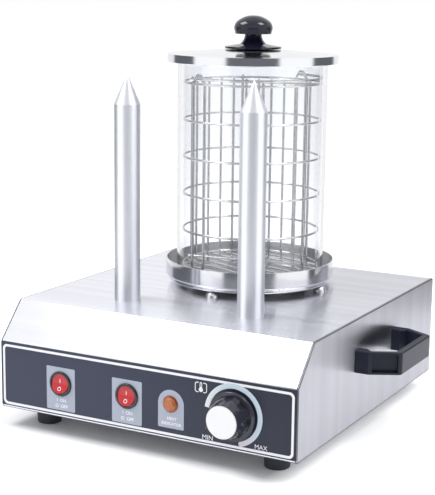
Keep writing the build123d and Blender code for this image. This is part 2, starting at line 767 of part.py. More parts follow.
# Moulded carrying handles: a six-sided bow with screw feet and a pocket in each slanted face
handle_foot_depth = 8.0
handle_foot_width = 12.0
handle_screw_depth = 10.0
slant_run = handle_reach - handle_shoulder
slant_rise = handle_wall_half - handle_face_half
slant_length = sqrt(slant_run**2 + slant_rise**2)
foot_half = handle_wall_half - handle_foot_width
shoulder_half = handle_wall_half - handle_band
face_half = handle_face_half - handle_band / 2
for side_name, side in (("left", -1), ("right", 1)):
    wall_x = side * case_half
    inner_face_x = wall_x + side * (handle_reach - handle_band)
    with BuildPart() as handle:
        with BuildSketch(Plane.XY.offset(handle_base)):
            with BuildLine():
                Polyline(
                    (wall_x, handle_y - handle_wall_half),
                    (wall_x + side * handle_shoulder, handle_y - handle_wall_half),
                    (wall_x + side * handle_reach, handle_y - handle_face_half),
                    (wall_x + side * handle_reach, handle_y + handle_face_half),
                    (wall_x + side * handle_shoulder, handle_y + handle_wall_half),
                    (wall_x, handle_y + handle_wall_half),
                    close=True,
                )
            make_face()
        extrude(amount=handle_height)
        outer_corners = handle.edges().filter_by(Axis.Z).group_by(Axis.X)[0 if side < 0 else -1]
        fillet(outer_corners, handle_corner)
        with BuildSketch(Plane.XY.offset(handle_base)):
            with BuildLine():
                Polyline(
                    (wall_x, handle_y - foot_half),
                    (wall_x + side * handle_foot_depth, handle_y - foot_half),
                    (wall_x + side * handle_shoulder, handle_y - shoulder_half),
                    (inner_face_x, handle_y - face_half),
                    (inner_face_x, handle_y + face_half),
                    (wall_x + side * handle_shoulder, handle_y + shoulder_half),
                    (wall_x + side * handle_foot_depth, handle_y + foot_half),
                    (wall_x, handle_y + foot_half),
                    close=True,
                )
            make_face()
        extrude(amount=handle_height, mode=Mode.SUBTRACT)
        bow_faces = handle.faces().filter_by(Axis.Z)
        bow_edges = bow_faces.edges().filter_by(lambda e: abs(e.center().X - wall_x) > handle_edge)
        fillet(bow_edges, handle_edge)
        for end in (-1, 1):
            slant_mid = (
                wall_x + side * (handle_shoulder + slant_run / 2),
                handle_y + end * (handle_wall_half - slant_rise / 2),
                handle_mid_z,
            )
            slant_face = Plane(
                origin=slant_mid,
                x_dir=(side * slant_run, -end * slant_rise, 0),
                z_dir=(side * slant_rise, end * slant_run, 0),
            )
            with BuildSketch(slant_face):
                RectangleRounded(
                    slant_length - 2 * handle_pocket_rim - 2 * handle_pocket_corner,
                    handle_height - 2 * handle_pocket_rim,
                    handle_pocket_corner,
                )
            extrude(amount=-handle_pocket_depth, mode=Mode.SUBTRACT)
        with BuildSketch(Plane.YZ.offset(wall_x)):
            with Locations(*handle_screw_spots):
                Circle(handle_screw_radius + pin_clearance)
        extrude(amount=side * (handle_screw_depth + pin_clearance), mode=Mode.SUBTRACT)
    handle.part.label = f"handle_{side_name}"
    export_step(handle.part, f"parts/handle_{side_name}.step")

with BuildPart() as handle_screws:
    for side in (-1, 1):
        inner_face = Plane(origin=(side * inner_half, 0, 0), x_dir=(0, 1, 0), z_dir=(-side, 0, 0))
        spots = [(y, -side * z) for y, z in handle_screw_spots]
        add(screws(inner_face, spots, *casing_head, handle_screw_radius, sheet + handle_screw_depth))
handle_screws.part.label = "handle_screws"
export_step(handle_screws.part, "parts/handle_screws.step")

# Rubber feet with a counterbored screw, a washer above each and a nut inside
foot_height = foot_gap - foot_washer_thickness
foot_screw_seat = 7.0
foot_counterbore = 5.0
foot_screw_length = 13.0
foot_names = ("front_left", "rear_left", "front_right", "rear_right")
for (x, y), foot_name in zip(foot_spots, foot_names):
    with BuildPart() as foot:
        with BuildSketch(Plane.XY.offset(foot_height)):
            with Locations((x, y)):
                Circle(foot_radius)
        extrude(amount=-foot_height, taper=foot_taper)
        fillet(foot.edges().filter_by(GeomType.CIRCLE).sort_by(Axis.Z)[0], foot_edge)
        with BuildSketch(Plane.XY):
            with Locations((x, y)):
                Circle(foot_counterbore)
        extrude(amount=foot_screw_seat, mode=Mode.SUBTRACT)
        with BuildSketch(Plane.XY):
            with Locations((x, y)):
                Circle(casing_shank_hole)
        extrude(amount=foot_height, mode=Mode.SUBTRACT)
    foot.part.label = f"foot_{foot_name}"
    export_step(foot.part, f"parts/foot_{foot_name}.step")

with BuildPart() as foot_washers:
    with BuildSketch(Plane.XY.offset(foot_height)):
        with Locations(*foot_spots):
            Circle(foot_washer_radius)
            Circle(casing_shank_hole, mode=Mode.SUBTRACT)
    extrude(amount=foot_washer_thickness)
foot_washers.part.label = "foot_washers"
export_step(foot_washers.part, "parts/foot_washers.step")

foot_screw_face = Plane(origin=(0, 0, foot_screw_seat), x_dir=(1, 0, 0), z_dir=(0, 0, -1))
foot_screws = screws(foot_screw_face, foot_spots, *casing_head, small_shank_radius, foot_screw_length)
foot_screws.label = "foot_screws"
export_step(foot_screws, "parts/foot_screws.step")

nut_bore = small_shank_radius + pin_clearance
foot_nuts = hex_nuts(Plane.XY.offset(bottom_z + sheet), foot_spots, *m4_nut, nut_bore)
foot_nuts.label = "foot_nuts"
export_step(foot_nuts, "parts/foot_nuts.step")

# Terminal block on the bottom plate
block_size = (54.0, 18.0, 15.0)
block_foot_gap = 12.0
block_place = (-foot_x + block_foot_gap + block_size[0] / 2, 110.0)
block_ways = 5
block_pitch = 10.0
block_screw_radius = 2.0
block_slot = (1.2, 2.5)
with BuildPart() as terminal_block:
    with BuildSketch(Plane.XY.offset(bottom_z + sheet)):
        with Locations(block_place):
            Rectangle(block_size[0], block_size[1])
    extrude(amount=block_size[2])
    with BuildSketch(Plane.XY.offset(bottom_z + sheet + block_size[2])):
        with Locations(block_place):
            with GridLocations(block_pitch, block_size[1] / 2, block_ways, 2):
                Circle(block_screw_radius)
    extrude(amount=-block_size[2] / 2, mode=Mode.SUBTRACT)
    with BuildSketch(Plane.XY.offset(bottom_z + sheet + block_size[2])):
        with Locations(block_place):
            with GridLocations(block_pitch, 0, block_ways - 1, 1):
                Rectangle(block_slot[0], block_size[1])
    extrude(amount=-block_slot[1], mode=Mode.SUBTRACT)
terminal_block.part.label = "terminal_block"
export_step(terminal_block.part, "parts/terminal_block.step")

# Cable gland in the rear panel: hexagon collar, domed clamping nut and a lock nut inside
gland_collar_width = 20.0
gland_collar_height = 5.0
gland_thread_length = 9.0
gland_nut_height = 4.5
gland_face = rear_plane(rear_y, gland_x, gland_z)
with BuildPart() as cable_gland:
    with BuildSketch(gland_face):
        RegularPolygon(gland_collar_width / 2, 6, major_radius=False)
    extrude(amount=gland_collar_height)
    with BuildSketch(gland_face.offset(gland_collar_height)):
        Circle(gland_radius)
    extrude(amount=gland_stand_out - gland_collar_height)
    fillet(cable_gland.edges().filter_by(GeomType.CIRCLE).sort_by(Axis.Y)[-1], gland_crown)
    with BuildSketch(gland_face):
        Circle(gland_thread_radius)
    extrude(amount=-gland_thread_length)
    with BuildSketch(gland_face.offset(gland_stand_out)):
        Circle(gland_bore)
    extrude(amount=-(gland_stand_out + gland_thread_length), mode=Mode.SUBTRACT)
cable_gland.part.label = "cable_gland"
export_step(cable_gland.part, "parts/cable_gland.step")

gland_nut = hex_nuts(
    rear_plane(rear_y - sheet - gland_nut_height),
    [(-gland_x, gland_z)],
    gland_collar_width,
    gland_nut_height,
    gland_thread_radius + pin_clearance,
)
gland_nut.label = "gland_nut"
export_step(gland_nut, "parts/gland_nut.step")

# Glass cylinder, standing on the pan's floor
with BuildPart() as glass_cylinder:
    with BuildSketch(Plane.XY.offset(glass_base_z)):
        with Locations((0, pan_y)):
            Circle(glass_radius)
            Circle(glass_inner_radius, mode=Mode.SUBTRACT)
    extrude(amount=glass_height)
glass_cylinder.part.label = "glass_cylinder"
export_step(glass_cylinder.part, "parts/glass_cylinder.step")


def around(angle, radius, height=0.0):
    """A point at an angle and a radius about the pan's axis."""
    return (radius * cos(radians(angle)), pan_y + radius * sin(radians(angle)), height)


# Wire basket: welded rings, two arches whose legs stand on the pan, uprights and floor bars
leg_radius = ring_radius - ring_wire_radius - wire_radius + weld_bite
arch_plane_radius = sqrt(leg_radius**2 - arch_half_width**2)
leg_foot_z = pan_inside_z + seat_gap
floor_bar_z = low_ring_z - ring_wire_radius - floor_bar_radius + weld_bite
upright_foot_z = low_ring_z - ring_wire_radius / 2
upright_height = top_ring_z + divider_tip - upright_foot_z
bar_dir = (cos(radians(floor_bar_angle)), sin(radians(floor_bar_angle)))

with BuildPart() as wire_basket:
    with BuildSketch(front_plane(pan_y)):
        with Locations(*[(ring_radius, low_ring_z + i * ring_pitch) for i in range(ring_count)]):
            RegularPolygon(ring_wire_radius, ring_sides, major_radius=False, rotation=180 / ring_sides)
    revolve(axis=pan_axis)
    with BuildSketch(Plane.XY.offset(upright_foot_z)):
        with Locations(*[around(a, leg_radius)[:2] for a in upright_angles]):
            Circle(wire_radius)
    extrude(amount=upright_height)
    for angle in arch_angles:
        outward = (cos(radians(angle)), sin(radians(angle)), 0)
        tangent = (-sin(radians(angle)), cos(radians(angle)), 0)
        arch_plane = Plane(origin=around(angle, arch_plane_radius), x_dir=tangent, z_dir=outward)
        with BuildLine(arch_plane) as arch:
            FilletPolyline(
                (-arch_half_width, leg_foot_z),
                (-arch_half_width, top_ring_z),
                (0, top_ring_z + arch_height),
                (arch_half_width, top_ring_z),
                (arch_half_width, leg_foot_z),
                radius=[arch_bend_radius, arch_top_radius, arch_bend_radius],
            )
        with BuildSketch(Plane(origin=arch.line @ 0, z_dir=arch.line % 0)):
            Circle(wire_radius)
        sweep(path=arch.line)
    for i in range(floor_bar_count):
        off = (i - (floor_bar_count - 1) / 2) * floor_bar_pitch
        half = sqrt(ring_radius**2 - off**2)
        start = (
            -bar_dir[1] * off - bar_dir[0] * half,
            pan_y + bar_dir[0] * off - bar_dir[1] * half,
            floor_bar_z,
        )
        with BuildSketch(Plane(origin=start, z_dir=(bar_dir[0], bar_dir[1], 0))):
            Circle(floor_bar_radius)
        extrude(amount=2 * half)
wire_basket.part.label = "wire_basket"
export_step(wire_basket.part, "parts/wire_basket.step")

# Divider grid across the basket: upright wires on two cross bars, standing on the floor bars
divider_foot_z = floor_bar_z + floor_bar_radius + seat_gap
divider_bar_offset = 2 * divider_wire_radius - weld_bite
divider_half = ring_radius - ring_wire_radius - 1.5 * seat_gap
divider_low_bar_z = low_ring_z + 2 * wire_radius
divider_dir = (cos(radians(divider_angle)), sin(radians(divider_angle)))
divider_spots = [
    around(divider_angle, (i - (divider_wire_count - 1) / 2) * divider_pitch + divider_shift)[:2]
    for i in range(divider_wire_count)
]
with BuildPart() as basket_divider:
    with BuildSketch(Plane.XY.offset(divider_foot_z)):
        with Locations(*divider_spots):
            Circle(divider_wire_radius)
    extrude(amount=top_ring_z + divider_tip - divider_foot_z)
    for bar_z in (divider_low_bar_z, top_ring_z):
        start = (
            divider_dir[1] * divider_bar_offset - divider_dir[0] * divider_half,
            pan_y - divider_dir[0] * divider_bar_offset - divider_dir[1] * divider_half,
            bar_z,
        )
        with BuildSketch(Plane(origin=start, z_dir=(divider_dir[0], divider_dir[1], 0))):
            Circle(divider_wire_radius)
        extrude(amount=2 * divider_half)
basket_divider.part.label = "basket_divider"
export_step(basket_divider.part, "parts/basket_divider.step")

# Bail of the basket: its ends are hooked through the arches, and it lies down on the front right
bail_z = top_ring_z + bail_lift
bail_turn = radians(arch_angles[0])
bail_plane = Plane(origin=(0, pan_y, bail_z), x_dir=(cos(bail_turn), sin(bail_turn), 0), z_dir=(0, 0, 1))
with BuildPart() as basket_bail:
    with BuildLine(bail_plane) as bail_path:
        Line((bail_radius - bail_hook, 0), (bail_radius, 0))
        ThreePointArc((bail_radius, 0), (0, -bail_radius), (-bail_radius, 0))
        Line((-bail_radius, 0), (-bail_radius + bail_hook, 0))
        fillet(bail_path.vertices().sort_by(Axis(bail_plane.origin, bail_plane.x_dir))[::3], bail_corner)
    with BuildSketch(Plane(origin=bail_path.line @ 0, z_dir=bail_path.line % 0)):
        Circle(bail_wire_radius)
    sweep(path=bail_path.line)
basket_bail.part.label = "basket_bail"
export_step(basket_bail.part, "parts/basket_bail.step")

# Domed lid with a turned-down skirt, resting on the rim of the glass
lid_top_z = lid_seat_z + lid_sheet
lid_dome_edge = lid_radius - lid_seat_width
dome_curve = (lid_dome_edge**2 + lid_rise**2) / (2 * lid_rise)
lid_hole = small_shank_radius + panel_hole_clearance


def dome_height_at(radius):
    """Height of the dome over the lid's flat rim, at a radius."""
    return lid_rise - dome_curve + sqrt(dome_curve**2 - radius**2)


with BuildPart() as lid:
    with BuildSketch(front_plane(pan_y)) as lid_profile:
        with BuildLine():
            Polyline(
                (lid_radius - lid_sheet, lid_top_z - lid_skirt),
                (lid_radius, lid_top_z - lid_skirt),
                (lid_radius, lid_top_z),
                (lid_dome_edge, lid_top_z),
            )
            ThreePointArc(
                (lid_dome_edge, lid_top_z),
                (lid_dome_edge / 2, lid_top_z + dome_height_at(lid_dome_edge / 2)),
                (lid_hole, lid_top_z + dome_height_at(lid_hole)),
            )
            Line(
                (lid_hole, lid_top_z + dome_height_at(lid_hole)),
                (lid_hole, lid_seat_z + dome_height_at(lid_hole)),
            )
            ThreePointArc(
                (lid_hole, lid_seat_z + dome_height_at(lid_hole)),
                (lid_dome_edge / 2, lid_seat_z + dome_height_at(lid_dome_edge / 2)),
                (lid_dome_edge, lid_seat_z),
            )
            Polyline(
                (lid_dome_edge, lid_seat_z),
                (lid_radius - lid_sheet, lid_seat_z),
                (lid_radius - lid_sheet, lid_top_z - lid_skirt),
            )
        make_face()
        outer_corner = lid_profile.vertices().group_by(Axis.X)[-1].sort_by(Axis.Z)[-1]
        fillet(outer_corner, lid_sheet * 0.9)
    revolve(axis=pan_axis)
lid.part.label = "lid"
export_step(lid.part, "parts/lid.step")

# Mushroom knob of the lid and the screw that holds it from inside
knob_seat_z = lid_top_z + lid_rise + seat_gap / 2
cap_low_z = knob_seat_z + lid_knob_cap_low
cap_wide_z = knob_seat_z + lid_knob_cap_wide
foot_radius_top, foot_top = lid_knob_foot
waist_radius, waist_height = lid_knob_waist
cap_crown = knob_seat_z + lid_knob_height - cap_wide_z
knob_hole = small_shank_radius + pin_clearance
knob_hole_depth = 12.0
with BuildPart() as lid_knob:
    with BuildSketch(front_plane(pan_y)) as knob_profile:
        with BuildLine():
            Polyline(
                (knob_hole, knob_seat_z),
                (lid_knob_flange, knob_seat_z),
                (lid_knob_flange, knob_seat_z + lid_knob_flange_edge),
                (foot_radius_top, knob_seat_z + foot_top),
            )
            ThreePointArc(
                (foot_radius_top, knob_seat_z + foot_top),
                (waist_radius, knob_seat_z + waist_height),
                (lid_knob_neck, cap_low_z),
            )
            Polyline(
                (lid_knob_neck, cap_low_z),
                (lid_knob_radius - lid_knob_cap_lip, cap_low_z),
                (lid_knob_radius, cap_wide_z),
            )
            Spline(
                (lid_knob_radius, cap_wide_z),
                (lid_knob_radius * cos(radians(45)), cap_wide_z + cap_crown * sin(radians(45))),
                (0, cap_wide_z + cap_crown),
                tangents=((0, 1), (-1, 0)),
            )
            Polyline(
                (0, knob_seat_z + lid_knob_height),
                (0, knob_seat_z + knob_hole_depth),
                (knob_hole, knob_seat_z + knob_hole_depth),
                (knob_hole, knob_seat_z),
            )
        make_face()
    revolve(axis=pan_axis)
lid_knob.part.label = "lid_knob"
export_step(lid_knob.part, "parts/lid_knob.step")

lid_screw_z = lid_seat_z + dome_height_at(0) - seat_gap
lid_screw_face = Plane(origin=(0, pan_y, lid_screw_z), x_dir=(1, 0, 0), z_dir=(0, 0, -1))
lid_screw_length = knob_hole_depth
lid_screw = screws(lid_screw_face, [(0, 0)], *casing_head, small_shank_radius, lid_screw_length)
lid_screw.label = "lid_screw"
export_step(lid_screw, "parts/lid_screw.step")
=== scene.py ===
from math import cos, pi, radians, sin, sqrt

import bmesh
import bpy
from mathutils import Matrix, Vector
from mathutils.bvhtree import BVHTree


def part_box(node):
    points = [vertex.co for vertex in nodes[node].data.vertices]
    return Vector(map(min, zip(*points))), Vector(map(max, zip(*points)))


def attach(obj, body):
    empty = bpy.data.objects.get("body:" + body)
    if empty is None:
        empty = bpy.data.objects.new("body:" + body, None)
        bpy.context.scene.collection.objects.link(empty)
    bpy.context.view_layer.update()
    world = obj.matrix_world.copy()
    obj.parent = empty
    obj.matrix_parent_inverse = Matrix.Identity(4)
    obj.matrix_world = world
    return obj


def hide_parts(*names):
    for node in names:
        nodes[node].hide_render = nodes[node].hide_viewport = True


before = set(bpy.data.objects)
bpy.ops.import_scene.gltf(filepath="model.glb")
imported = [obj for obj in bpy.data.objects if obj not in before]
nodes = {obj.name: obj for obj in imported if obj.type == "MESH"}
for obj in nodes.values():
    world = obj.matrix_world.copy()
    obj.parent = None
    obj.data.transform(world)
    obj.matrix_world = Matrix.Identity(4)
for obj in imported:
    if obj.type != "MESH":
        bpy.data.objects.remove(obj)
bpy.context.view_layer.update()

# Camera
# The place, direction and focal length were solved from the casing's edges, the spikes and the
# circles of the pan, the glass and the lid in the photograph; the picture needs no lens shift.
view_azimuth = radians(28.507)
view_elevation = radians(11.201)
view_roll = radians(0.68)
view_place = (0.5815, -1.0927, 0.4004)
back = Vector((
    sin(view_azimuth) * cos(view_elevation),
    -cos(view_azimuth) * cos(view_elevation),
    sin(view_elevation),
))
level = Vector((cos(view_azimuth), sin(view_azimuth), 0))
upward = back.cross(level)
right = level * cos(view_roll) + upward * sin(view_roll)
up = upward * cos(view_roll) - level * sin(view_roll)


def put(name, data):
    """A new object in the scene."""
    made = bpy.data.objects.new(name, data)
    bpy.context.scene.collection.objects.link(made)
    return made


camera_data = bpy.data.cameras.new("camera")
camera_data.sensor_width = 36
camera_data.lens = 96.38
camera_data.clip_end = 50
camera = put("camera", camera_data)
camera.matrix_world = Matrix.Translation(view_place) @ Matrix((right, up, back)).transposed().to_4x4()
bpy.context.scene.camera = camera

# Floor, white backdrop, lamps and reflector cards
# A white table sweep in a bright room with a large soft lamp above the front left. Black and white
# cards stand round the toaster, which only its shiny surfaces mirror, as in a product studio.
bpy.context.scene.view_settings.view_transform = "Standard"


def add_node(tree, kind, settings=None, **inputs):
    """One node of a tree; a value sets its socket and a socket is linked to it."""
    made = tree.nodes.new(kind)
    for key, value in (settings or {}).items():
        setattr(made, key, value)
    for key, value in inputs.items():
        socket = made.inputs[int(key[1:])] if key[0] == "_" else made.inputs[key.replace("_", " ")]
        if isinstance(value, bpy.types.NodeSocket):
            tree.links.new(value, socket)
        else:
            socket.default_value = value
    return made


def calc(tree, operation, first, second=0.0, third=0.0):
    """The result of one Math node."""
    made = add_node(tree, "ShaderNodeMath", {"operation": operation}, _0=first, _1=second, _2=third)
    return made.outputs[0]


def vector_calc(tree, operation, first, second=(0, 0, 0)):
    """The result of one Vector Math node."""
    made = add_node(tree, "ShaderNodeVectorMath", {"operation": operation}, _0=first, _1=second)
    return made.outputs["Value" if operation in ("LENGTH", "DOT_PRODUCT") else "Vector"]


def rising(tree, value, start, end, low=0.0, high=1.0):
    """Maps start…end to low…high, and keeps to these beyond."""
    made = add_node(tree, "ShaderNodeMapRange", Value=value, From_Min=start, From_Max=end,
                    To_Min=low, To_Max=high)
    return made.outputs["Result"]


def ramp(tree, factor, *stops):
    """A colour ramp whose stops are (place, grey or colour)."""
    made = add_node(tree, "ShaderNodeValToRGB", Fac=factor)
    points = made.color_ramp.elements
    while len(points) < len(stops):
        points.new(0.5)
    for point, (place, value) in zip(points, stops):
        point.position = place
        point.color = (*value, 1) if isinstance(value, tuple) else (value, value, value, 1)
    return made.outputs["Color"]


def mixed(tree, factor, first, second):
    """Mixes two colours by a factor."""
    return add_node(tree, "ShaderNodeMix", {"data_type": "RGBA"}, _0=factor, _6=first, _7=second).outputs[2]


def object_place(tree):
    """Object coordinates, in metres."""
    return add_node(tree, "ShaderNodeTexCoord").outputs["Object"]


def empty_tree(owner):
    """The shader tree of a material or world, with nothing in it."""
    owner.use_nodes = True
    owner.node_tree.nodes.clear()
    return owner.node_tree


def mirrored(tree):
    """1 for the rays that have met a shiny surface, 0 for those straight from the camera."""
    return calc(tree, "MINIMUM", add_node(tree, "ShaderNodeLightPath").outputs["Glossy Depth"], 1.0)


def seen_white(tree):
    """1 for the rays of the camera, of mirrors and through glass, which see a plain white room."""
    path = add_node(tree, "ShaderNodeLightPath").outputs
    straight = calc(tree, "MAXIMUM", path["Is Camera Ray"], path["Is Transmission Ray"])
    return calc(tree, "MAXIMUM", straight, path["Is Glossy Ray"])


world = bpy.data.worlds.new("studio")
bpy.context.scene.world = world
sky = empty_tree(world)
direction = add_node(sky, "ShaderNodeTexCoord").outputs["Generated"]
height = rising(sky, add_node(sky, "ShaderNodeSeparateXYZ", Vector=direction).outputs["Z"], -1.0, 1.0)
room_tones = ((0.0, 0.6), (0.5, (0.52, 0.54, 0.58)), (0.6, (0.76, 0.78, 0.82)), (0.7, 1.0), (1.0, 0.95))
room = add_node(sky, "ShaderNodeBackground", Color=ramp(sky, height, *room_tones), Strength=0.9)
mirror_tone = mixed(sky, mirrored(sky), (1, 1, 1, 1), ramp(sky, height, (0.62, 0.96), (0.78, 0.85)))
backdrop = add_node(sky, "ShaderNodeBackground", Color=mirror_tone, Strength=1.0)
studio = add_node(sky, "ShaderNodeMixShader", _0=seen_white(sky), _1=room.outputs[0],
                  _2=backdrop.outputs[0])
add_node(sky, "ShaderNodeOutputWorld", Surface=studio.outputs[0])

# Painted light: for camera, mirror and glass rays the table glows. There is no glow under the casing's
# footprint, whose box is shifted 3 cm to the left; the glow is strongest a few centimetres outside it and
# weaker far away. This lightens the lamps' shadows round the casing and keeps the shade under it.
shade_middle, shade_half = (-0.03, 0, 0), (0.15, 0.158, 0)
painted_floor_light_tones = ((0.0, 0.0), (0.02, 0.34), (0.07, 0.42), (0.5, 0.28))
floor_reach = 12
floor_material = bpy.data.materials.new("white_table")
table = empty_tree(floor_material)
paint = add_node(table, "ShaderNodeBsdfDiffuse", Color=(0.90, 0.905, 0.92, 1))
beyond = vector_calc(table, "SUBTRACT", object_place(table), shade_middle)
beyond = vector_calc(table, "SUBTRACT", vector_calc(table, "ABSOLUTE", beyond), shade_half)
beyond = vector_calc(table, "LENGTH", vector_calc(table, "MAXIMUM", beyond))
painted_floor_light = add_node(table, "ShaderNodeEmission", Color=ramp(table, beyond, *painted_floor_light_tones), Strength=1.0)
lifted = add_node(table, "ShaderNodeAddShader", _0=paint.outputs[0], _1=painted_floor_light.outputs[0])
surface = add_node(table, "ShaderNodeMixShader", _0=seen_white(table), _1=paint.outputs[0],
                   _2=lifted.outputs[0])
add_node(table, "ShaderNodeOutputMaterial", Surface=surface.outputs[0])
floor_mesh = bpy.data.meshes.new("floor")
floor_corners = [(x * floor_reach, y * floor_reach, 0) for x, y in ((-1, -1), (1, -1), (1, 1), (-1, 1))]
floor_mesh.from_pydata(floor_corners, [], [(0, 1, 2, 3)])
floor_mesh.materials.append(floor_material)
floor = put("floor", floor_mesh)


lamp_target = Vector((0, 0, 0.1))


def soft_lamp(name, place, size, power):
    """A square lamp that shines at the middle of the casing."""
    data = bpy.data.lights.new(name, "AREA")
    data.shape = "SQUARE"
    data.size = size
    data.energy = power
    lamp = put(name, data)
    lamp.location = place
    lamp.rotation_mode = "QUATERNION"
    lamp.rotation_quaternion = (lamp_target - Vector(place)).to_track_quat("-Z", "Y")


soft_lamp("left_lamp", (-0.95, -0.42, 1.55), 0.85, 17)
soft_lamp("right_lamp", (0.85, 0.1, 1.45), 0.6, 9)


def between(value, stops):
    """Reads a table of (place, value) stops, with straight lines between them."""
    for (low, first), (high, last) in zip(stops, stops[1:]):
        if value <= high:
            return first + (last - first) * (value - low) / (high - low)
    return stops[-1][1]


# The cards' greys by the angle away from the camera's side, in degrees, and how far they fade to
# white at each height.
card_tones = ((0, 0.16), (33, 0.16), (37, 1.2), (82, 1.2), (86, 0.14), (126, 0.14), (131, 0.98),
              (180, 0.98))
card_levels = ((0.0, 0.0), (0.036, 0.0), (0.04, 0.0), (0.34, 0.0), (0.5, 1.0), (0.75, 1.0))
card_distance = 0.55
card_columns = 180
card_tint = (0.0, 0.004, 0.03)
# Behind this angle, the lowest strip of the cards is white.
white_foot, white_foot_start = 0.038, 96
camera_side = -61.513
card_shape = bmesh.new()
card_tone = card_shape.verts.layers.float_color.new("tone")
card_rings = []
for card_level, fade in card_levels:
    ring = []
    for i in range(card_columns):
        turn = 360 * i / card_columns
        away = abs((turn - camera_side + 180) % 360 - 180)
        tone = 1.0 if card_level < white_foot and away > white_foot_start else between(away, card_tones)
        tone += (1.0 - tone) * fade
        corner_x, corner_y = card_distance * cos(radians(turn)), card_distance * sin(radians(turn))
        corner = card_shape.verts.new((corner_x, corner_y, card_level))
        corner[card_tone] = (*[tone + tint * (1 - tone) for tint in card_tint], 1)
        ring.append(corner)
    card_rings.append(ring)
for lower, upper in zip(card_rings, card_rings[1:]):
    for i in range(card_columns):
        j = (i + 1) % card_columns
        card_shape.faces.new((lower[j], lower[i], upper[i], upper[j]))
card_mesh = bpy.data.meshes.new("reflector_cards")
card_shape.to_mesh(card_mesh)
card_shape.free()
card_material = bpy.data.materials.new("card_paper")
card_tree = empty_tree(card_material)
paper = add_node(card_tree, "ShaderNodeAttribute", {"attribute_name": "tone"}).outputs["Color"]
shine = add_node(card_tree, "ShaderNodeEmission", Color=paper, Strength=1.0)
unseen = add_node(card_tree, "ShaderNodeBsdfTransparent")
card = add_node(card_tree, "ShaderNodeMixShader", _0=mirrored(card_tree), _1=unseen.outputs[0],
                _2=shine.outputs[0])
add_node(card_tree, "ShaderNodeOutputMaterial", Surface=card.outputs[0])
card_mesh.materials.append(card_material)
cards = put("reflector_cards", card_mesh)
cards.visible_camera = False
cards.visible_diffuse = False
cards.visible_shadow = False
cards.visible_volume_scatter = False

# Top shell and side panels
# Satin stainless sheet, 1.2 mm, folded on a brake: the shell makes the front, slope and top, and
# the two side trays carry it. Fine brush lines run across the shell and upright on the sides.
shell_low, shell_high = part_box("top_shell")
side_panel_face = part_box("side_panel_right")[1].x
# The colour of the painted shade on the casing's seams, bend corners and bottom fold.
painted_edge_shade_color = (0.06, 0.06, 0.07, 1)
seam_half, corner_half, fold_height = 0.0003, 0.0002, 0.0012
line_dark, line_light, cloud_dark, band_dark = 0.97, 1.02, 0.95, 0.90
band_stretch, band_start, band_end = 25, 0.36, 0.64


def finish(name, color, metallic=0.0, roughness=0.5, **sockets):
    """A new material and its shader, whose constant values sit on the shader's own sockets."""
    made = bpy.data.materials.new(name)
    made.use_nodes = True
    tree = made.node_tree
    shader = tree.nodes["Principled BSDF"]
    shader.inputs["Base Color"].default_value = (*color, 1)
    shader.inputs["Metallic"].default_value = metallic
    shader.inputs["Roughness"].default_value = roughness
    for key, value in sockets.items():
        shader.inputs[key.replace("_", " ")].default_value = value
    return made, tree, shader


def noise(tree, scale, detail=2.0, rough=0.5):
    """Noise on Object coordinates; scale is one number or a stretch along x, y and z, per metre."""
    place = object_place(tree)
    if isinstance(scale, tuple):
        place = add_node(tree, "ShaderNodeMapping", Vector=place, Scale=scale).outputs["Vector"]
        scale = 1.0
    made = add_node(tree, "ShaderNodeTexNoise", Vector=place, Scale=scale, Detail=detail, Roughness=rough)
    return made.outputs["Fac"]


def axis(tree, letter):
    """The place along one axis of the object, in metres."""
    return add_node(tree, "ShaderNodeSeparateXYZ", Vector=object_place(tree)).outputs[letter]


def tinted(color, share):
    """A colour made lighter or darker, as a socket takes it."""
    return (*[min(1, part * share) for part in color], 1)


def spread(tree, value, low, high):
    """Maps 0…1 to low…high."""
    return rising(tree, value, 0.0, 1.0, low, high)


def rough_by(tree, shader, pattern, low, high):
    """Lets a pattern change the roughness from low to high."""
    tree.links.new(spread(tree, pattern, low, high), shader.inputs["Roughness"])


def color_by(tree, shader, tone):
    """Gives the shader a colour that changes over the surface."""
    tree.links.new(tone, shader.inputs["Base Color"])


def bump(tree, shader, height, distance):
    """Relief from a height pattern, in metres."""
    relief = add_node(tree, "ShaderNodeBump", Strength=1.0, Distance=distance, Height=height)
    tree.links.new(relief.outputs["Normal"], shader.inputs["Normal"])


def use(material, *names):
    """Gives CAD nodes one material on all their slots."""
    for name in names:
        mesh = nodes[name].data
        mesh.materials.clear()
        mesh.materials.append(material)


def across(tree, shader, way):
    """The direction in which the brush lines smear a reflection."""
    smear = add_node(tree, "ShaderNodeCombineXYZ", X=way[0], Y=way[1], Z=way[2])
    tree.links.new(smear.outputs[0], shader.inputs["Tangent"])


